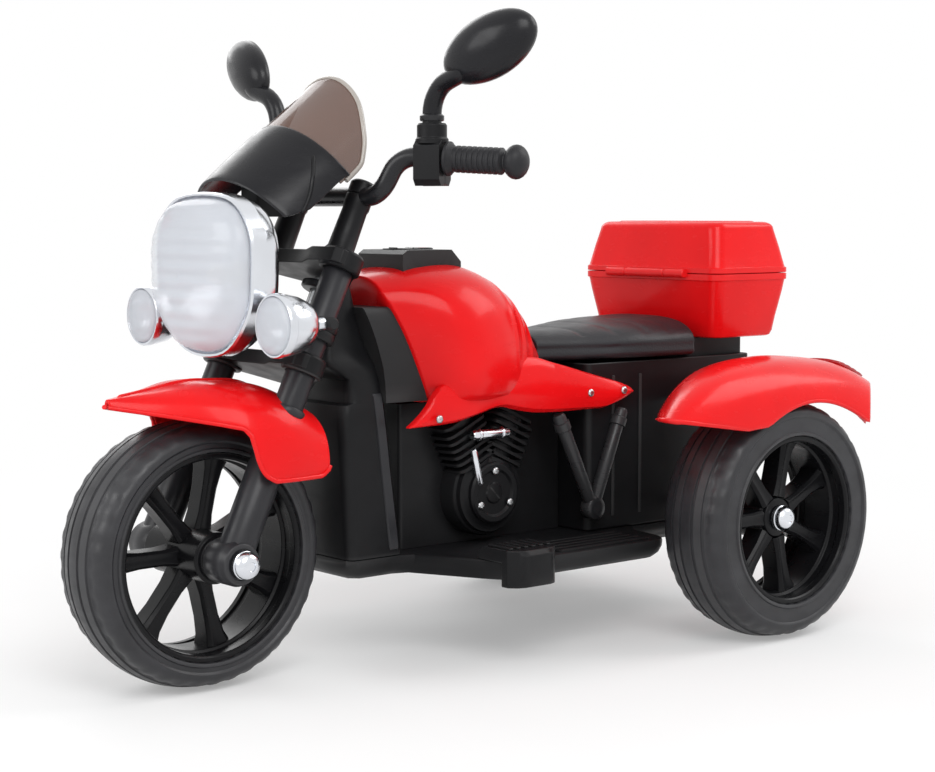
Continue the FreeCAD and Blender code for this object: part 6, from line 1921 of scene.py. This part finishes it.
@dataclass
class RearFenders:
    """The pair of flared rear fenders and the lenses on their tails."""

    frame_side: float = 72.2
    half_track: float = 200.0
    lip_out: float = 48.0
    rise: float = 40.0
    tip_ahead: float = 184.0
    tail_behind: float = 199.0
    sweep: float = 130.0
    low: float = 221.0
    nose_lift: float = 18.0
    arch_half: float = 82.0
    arch_rise: float = 25.0
    nose_share: float = 0.93
    tail_share: float = -1.02
    wall: float = 4.0
    outside: Points = (
        (0.0, 26), (0.16, 17), (0.38, 6), (0.62, 0), (0.8, 4), (0.92, 18), (0.98, 38), (1.0, 64))
    stations: Points = (
        (0.93, 60), (0.83, 40), (0.72, 25), (0.57, 12), (0.38, 4), (0.15, 0), (-0.12, 0), (-0.52, 10),
        (-0.8, 34), (-0.92, 60), (-1.02, 96))
    rows: int = 56
    columns: int = 34

    def __post_init__(self) -> None:
        """Draw the fender's two guiding curves."""
        hub = middle_of("rear_tyre_left")
        self.rear, self.crown = hub.x, 2 * hub.z + self.rise
        self.drops = catmull([Vector(spot) for spot in self.stations], 8)
        self.profile = catmull([Vector((*spot, place)) for place, spot in enumerate(self.outside)], 8)
        self.span = self.half_track + self.lip_out - self.frame_side

    def skin(self, share: float, along: float) -> Vector:
        """A point of the fender's outside before its edges are trimmed.

        Args:
            share: How far ahead of or behind the axle, as a share of the reach there.
            along: How far along the section, from 0 at the frame to 1 at the lip.

        Returns:
            The point in the part's frame.
        """
        spot = along * (len(self.profile) - 1)
        index = min(int(spot), len(self.profile) - 2)
        across, fall, _ = self.profile[index].lerp(self.profile[index + 1], spot - index)
        reach = self.tip_ahead if share > 0 else self.tail_behind
        out = self.span * across
        lean = 1 - out / (self.half_track - self.frame_side)
        ahead = (share - self.tail_share) / (self.nose_share - self.tail_share)
        x = self.rear + reach * share - self.sweep * ahead * lean
        return Vector((x, self.frame_side + out, self.crown - level_at(self.drops, share) - fall))

    def behind_tail(self, spot: Vector) -> bool:
        """Whether a point lies behind the tail's outline in plan.

        Args:
            spot: The point.

        Returns:
            True where the fender is cut off.
        """
        tip = Vector((self.rear - self.tail_behind, self.frame_side + self.span * 0.57))
        outer = Vector((self.rear - self.tail_behind * 0.48, self.half_track + self.lip_out + 10))
        inner = Vector((self.rear - self.tail_behind * 0.6, self.frame_side - 5))
        far, near = (outer, tip) if spot.y > tip.y else (tip, inner)
        share = (spot.y - near.y) / (far.y - near.y)
        return spot.x < near.x + (far.x - near.x) * share

    def edge_height(self, x: float) -> float:
        """Height of the outer edge, which arches over the wheel.

        Args:
            x: How far forward the place is.

        Returns:
            The height.
        """
        ahead, behind = self.rear + self.arch_half * 0.75, self.rear - self.arch_half * 1.25
        if x > ahead:
            front = self.rear + self.tip_ahead
            return self.low + self.nose_lift * (x - ahead) / (front - ahead)
        if x < behind:
            return self.low - 40 * (behind - x) / (behind - self.rear + self.tail_behind)
        middle, half = (ahead + behind) / 2, (ahead - behind) / 2
        return self.low + self.arch_rise * (1 - ((x - middle) / half) ** 2)

    def last_share(self, along: float) -> float:
        """How far back the fender reaches at one place along its section.

        Args:
            along: The place along the section.

        Returns:
            The share of the reach there.
        """
        def covers(share: float) -> bool:
            """Whether the place is still ahead of the tail's outline."""
            return not self.behind_tail(self.skin(share, along))

        if covers(self.tail_share):
            return self.tail_share
        return boundary(self.nose_share, self.tail_share, covers)

    def row(self, share: float) -> Ring:
        """One row of the fender, from its inner to its outer edge.

        Args:
            share: How far back the row is, from 0 at the nose to 1 at the tail.

        Returns:
            The row's points, or none where the whole row would lie below the trimmed edge.
        """
        def spot(along: float) -> Vector:
            """A point of the row."""
            return self.skin(self.nose_share + (self.last_share(along) - self.nose_share) * share, along)

        def spare(along: float) -> float:
            """How far a point lies above the trimmed edge."""
            return spot(along).z - self.edge_height(spot(along).x)

        crest = max((step / 60 for step in range(61)), key=spare)
        if spare(crest) < 4:
            return []
        first, last = (end if spare(end) >= 0 else boundary(crest, end, lambda along: spare(along) >= 0)
                       for end in (0.0, 1.0))
        return [spot(first + (last - first) * column / self.columns) for column in range(self.columns + 1)]

    def build(self) -> None:
        """Build both fenders, their rolled lips and their tail lenses."""
        rows = [row for row in (self.row(index / self.rows) for index in range(self.rows + 1)) if row]
        edge = [row[-1] + Vector((0, -2.4, 1.2)) for row in rows]
        shell = Draft().loft(rows, closed=False)
        shell.pair("rear_fender", "shell", Finishes.RED, Body.CHASSIS, wall=self.wall, levels=1)
        lip = Draft().sweep(edge, [0.6] + [2.3] * (len(edge) - 2) + [0.6], 10)
        lip.pair("rear_fender", "lip", Finishes.RED, Body.CHASSIS, stands=False, sharp=60)
        self.build_lenses()

    def build_lenses(self) -> None:
        """Lay a ribbed lens on each fender's rear slope, where the node has it."""
        low, high = next(box for box in loose_boxes("tail_lamps") if box[0].y > 0)
        rings, rows, columns = [], 12, 16
        for row in range(rows + 1):
            x = high.x - 1 + (low.x - high.x + 2) * row / rows
            lift = UP * (4.6 if row % 3 else 4.0)
            rings.append([self.on_top(x, low.y + 1 + (high.y - low.y - 2) * column / columns) + lift
                          for column in range(columns + 1)])
        lens = Draft().loft(rings, closed=False)
        for side in Side:
            stands = ["tail_lamps"] if side is Side.LEFT else []
            lens.on(side).piece(f"tail_lens_{side.word}", Finishes.RED_LENS, Body.CHASSIS, stands, wall=4.4)

    def on_top(self, x: float, y: float) -> Vector:
        """The fender's outside above a place in plan.

        Args:
            x: How far forward the place is.
            y: How far to the left.

        Returns:
            The point.
        """
        along = boundary(0.0, 1.0, lambda place: self.skin(0.0, place).y < y)
        share = boundary(self.nose_share, self.tail_share, lambda place: self.skin(place, along).x > x)
        return self.skin(share, along)


@dataclass
class TopBox:
    """The hinged top box: tapered base, lid with a seam lip, knuckles and a finger tab."""

    wall: float = 4.0
    taper: float = 12.5
    corner: float = 14.0
    top_round: float = 9.0
    length: float = 122.0
    hinge_radius: float = 5.0
    hinge_sink: float = 2.0
    knuckle_half: float = 30.0
    knuckle_end: float = 60.0
    knuckle_gap: float = 0.6
    base_tall: float = 70.2

    def __post_init__(self) -> None:
        """Read the box's place from its nodes."""
        low, high = box_of("box_base")
        self.back, self.front = low.x, low.x + self.length
        self.half = (high.y - low.y) / 2
        self.floor, self.seam = low.z, low.z + self.base_tall
        self.top = box_of("box_lid")[1].z
        self.hinge = Vector((self.front + self.hinge_radius - self.hinge_sink, 0, self.seam))

    def ring(self, inset: float, height: float, corner: float) -> Ring:
        """A round-cornered outline of the box, drawn in by an inset."""
        shape = rounded_rect((self.front - self.back) / 2 - inset, self.half - inset, corner, 6)
        return [Vector((x + (self.front + self.back) / 2, y, height)) for x, y in shape]

    def build(self) -> None:
        """Build the base and the lid."""
        self.build_base()
        self.build_lid()

    def knuckles(self, draft: Draft, spans: Sequence[Span]) -> None:
        """Add hinge knuckles with round edges over spans of the hinge line.

        Args:
            draft: The base's or lid's draft.
            spans: Start and end of each knuckle.
        """
        radius = self.hinge_radius
        for start, stop in spans:
            foot = self.hinge + Vector((0, start, 0))
            length = stop - start
            side, end = radius - 0.1, radius - 0.8
            profile = [(end, 0), (side, 0.8), (side, length - 0.8), (end, length)]
            draft.turn(profile, axis_frame(foot, LEFT), 28)

    def build_base(self) -> None:
        """Loft the base with ribs round its foot, and its outer knuckles."""
        taper, wall, floor, seam, corner = self.taper, self.wall, self.floor, self.seam, self.corner
        tall = seam - floor
        draft = Draft().loft([self.ring(*station) for station in (
            (taper + 3, floor, 12), (taper + 0.6, floor + 1.2, 13), (taper * 0.9, floor + 6, 13),
            (taper * 0.72, floor + tall * 0.3, 13), (taper * 0.3, floor + tall * 0.7, 13.5),
            (1.8, seam - 9, corner), (1.5, seam - 7.6, corner), (0.2, seam - 7, corner),
            (0.1, seam - 0.9, corner), (0.6, seam - 0.4, corner), (wall, seam - 0.4, 10),
            (wall + taper * 0.6, floor + tall * 0.4, 9), (wall + taper, floor + wall, 8))])
        start, stop = self.knuckle_half + self.knuckle_gap, self.knuckle_end
        self.knuckles(draft, [(start, stop), (-stop, -start)])
        draft.piece("box_base_tub", Finishes.RED, Body.CHASSIS, ["box_base"], sharp=32)

    def build_lid(self) -> None:
        """Loft the lid with a raised top panel, its middle knuckle and a finger tab."""
        seam, top, wall, taper, corner = self.seam + 0.4, self.top, self.wall, self.taper, self.corner
        half_up = (seam + top) / 2
        stations = [(wall + taper, top - wall, 8), (wall + taper * 0.4, half_up, 9), (wall, seam, 10),
                    (0.6, seam, corner), (0.1, seam + 0.5, corner), (0.2, seam + 5.4, corner),
                    (1.4, seam + 6, corner), (1.8, seam + 7, corner), (taper * 0.5, half_up, 14),
                    (taper - 2, top - self.top_round, 15)]
        for step in range(1, 6):
            angle = math.radians(90 * step / 5)
            stations.append((taper - 2 + self.top_round * 0.95 * (1 - math.cos(angle)),
                             top - 1 - (self.top_round - 1) * (1 - math.sin(angle)), 15))
        stations += [(taper + 14, top - 1, 12), (taper + 15, top - 0.2, 12), (taper + 17, top, 11)]
        draft = Draft().loft([self.ring(*station) for station in stations])
        self.knuckles(draft, [(-self.knuckle_half, self.knuckle_half)])
        tab = axis_frame(Vector((self.back + 0.4, 0, seam + 3)), UP)
        draft.slab(rounded_rect(0.9, 17, 0.8, 2), -1.8, 2.2, tab)
        draft.piece("box_lid_shell", Finishes.RED, Body.LID, ["box_lid"], sharp=32)


def dress_drive() -> None:
    """Finish the axle and gear train that stay as the frame has them."""
    dress("rear_axle", Finishes.STEEL, 0.4)
    dress("gearbox_case", Finishes.BLACK, 1.5)
    dress("gearbox_cover", Finishes.BLACK, 1.2)
    for node in ("motor_pinion", "compound_gear", "output_gear"):
        dress(node, Finishes.NYLON)
    AxleCaps("rear_axle_caps", Body.CHASSIS).build()


@dataclass
class Studio:
    """The white sweep, soft lights and camera of the picture."""

    eye: Place = (1.280, 1.528, 0.440)
    aim: Place = (-0.010, 0.0, 0.261)
    lens: float = 74.7
    floor_half: float = 8.0
    fade_start: float = 0.55
    fade_end: float = 1.5
    ambient: float = 0.62
    softbox_aim: Place = (0.0, 0.0, 0.25)
    softboxes: tuple[tuple[str, Place, float, float], ...] = (
        ("key_softbox", (1.1, 1.9, 2.1), 1.5, 34.0), ("front_softbox", (2.3, -0.4, 1.3), 1.2, 16.0),
        ("back_softbox", (-1.7, 0.9, 1.9), 1.3, 18.0), ("far_softbox", (-0.6, -2.2, 1.6), 1.4, 14.0))

    def build(self) -> None:
        """Set the camera, floor, world and lamps."""
        scene = bpy.context.scene
        scene.view_settings.view_transform = "Standard"
        camera = self.aimed("camera", bpy.data.cameras.new("camera"), self.eye, self.aim)
        camera.data.lens = self.lens
        camera.data.sensor_width = 36.0
        scene.camera = camera
        self.build_floor()
        self.build_world()
        for name, spot, size, watts in self.softboxes:
            light = bpy.data.lights.new(name, "AREA")
            light.size = size
            light.energy = watts
            self.aimed(name, light, spot, self.softbox_aim)

    @staticmethod
    def aimed(name: str, data: bpy.types.ID, spot: Place, aim: Place) -> bpy.types.Object:
        """Put a camera or lamp into the scene so that it looks at a place.

        Args:
            name: The object's name.
            data: The camera or lamp.
            spot: Where it stands, in metres.
            aim: Where it looks.

        Returns:
            The object.
        """
        obj = new_object(name, data)
        obj.location = spot
        obj.rotation_euler = (Vector(aim) - Vector(spot)).to_track_quat("-Z", "Y").to_euler()
        return obj

    def build_floor(self) -> None:
        """Lay the floor, which keeps the object's shadow near it and fades to white further out."""
        half = self.floor_half
        mesh = bpy.data.meshes.new("studio_floor")
        mesh.from_pydata([(-half, -half, 0), (half, -half, 0), (half, half, 0), (-half, half, 0)], [],
                         [(0, 1, 2, 3)])
        floor = new_object("studio_floor", mesh)
        material = bpy.data.materials.new("pale_sweep")
        material.use_nodes = True
        nodes = Nodes(material)
        nodes.shader.inputs["Roughness"].default_value = 0.9
        nodes.link(nodes.mix(nodes.noise(3.0), (0.86, 0.86, 0.86), (0.9, 0.9, 0.9)),
                   nodes.shader.inputs["Base Color"])
        far = nodes.tree.nodes.new("ShaderNodeVectorMath")
        far.operation = "LENGTH"
        nodes.link(nodes.place, far.inputs[0])
        fade = nodes.spread(far.outputs["Value"], (self.fade_start, self.fade_end), (0.3, 1.0))
        white = nodes.add("ShaderNodeEmission", Strength=1.0)
        seen = nodes.tree.nodes.new("ShaderNodeMath")
        seen.operation = "MULTIPLY"
        nodes.link(fade, seen.inputs[0])
        nodes.link(direct_ray(nodes.tree), seen.inputs[1])
        blend = nodes.tree.nodes.new("ShaderNodeMixShader")
        nodes.link(seen.outputs[0], blend.inputs[0])
        nodes.link(nodes.shader.outputs[0], blend.inputs[1])
        nodes.link(white.outputs[0], blend.inputs[2])
        nodes.link(blend.outputs[0], nodes.tree.nodes["Material Output"].inputs["Surface"])
        mesh.materials.append(material)

    def build_world(self) -> None:
        """Light the object softly from all round, with white where the background shows."""
        world = bpy.data.worlds.new("studio")
        bpy.context.scene.world = world
        world.use_nodes = True
        tree = world.node_tree
        soft = tree.nodes["Background"]
        soft.inputs["Color"].default_value = (1.0, 1.0, 1.0, 1.0)
        soft.inputs["Strength"].default_value = self.ambient
        white = tree.nodes.new("ShaderNodeBackground")
        white.inputs["Color"].default_value = (1.0, 1.0, 1.0, 1.0)
        blend = tree.nodes.new("ShaderNodeMixShader")
        tree.links.new(direct_ray(tree), blend.inputs[0])
        tree.links.new(soft.outputs[0], blend.inputs[1])
        tree.links.new(white.outputs[0], blend.inputs[2])
        tree.links.new(blend.outputs[0], tree.nodes["World Output"].inputs["Surface"])


def direct_ray(tree: bpy.types.NodeTree) -> Socket:
    """An output that is 1 for rays that show the background, in the picture, in gloss or through glass.

    Args:
        tree: The tree that the output is made in.

    Returns:
        The output.
    """
    path = tree.nodes.new("ShaderNodeLightPath")
    total = path.outputs["Is Camera Ray"]
    for kind in ("Is Glossy Ray", "Is Transmission Ray"):
        either = tree.nodes.new("ShaderNodeMath")
        either.operation = "MAXIMUM"
        tree.links.new(total, either.inputs[0])
        tree.links.new(path.outputs[kind], either.inputs[1])
        total = either.outputs[0]
    return total


def main() -> None:
    """Build every sub-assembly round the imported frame."""
    logging.basicConfig(level=logging.INFO, format="%(name)s: %(message)s")
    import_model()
    steering = Steering()
    rear_hub = (-37.5, 14.0)
    builders = [
        Studio(),
        Wheel("front_tyre", "front_rim", Body.FRONT_WHEEL, 97.0, (-47.6, 47.6)),
        Wheel("rear_tyre_left", "rear_rim_left", Body.LEFT_WHEEL, 87.0, rear_hub),
        Wheel("rear_tyre_right", "rear_rim_right", Body.RIGHT_WHEEL, 87.0, (-rear_hub[1], -rear_hub[0])),
        Fork(steering), Bars(steering), Mirrors(), Lamps(steering), Screen(), FrontFender(),
        Floor(), LegShield(), Engine(), Tank(), Seat(), RearFrame(), RearFenders(), TopBox(),
    ]
    for builder in builders:
        builder.build()
    dress_drive()


if __name__ == "__main__":
    main()
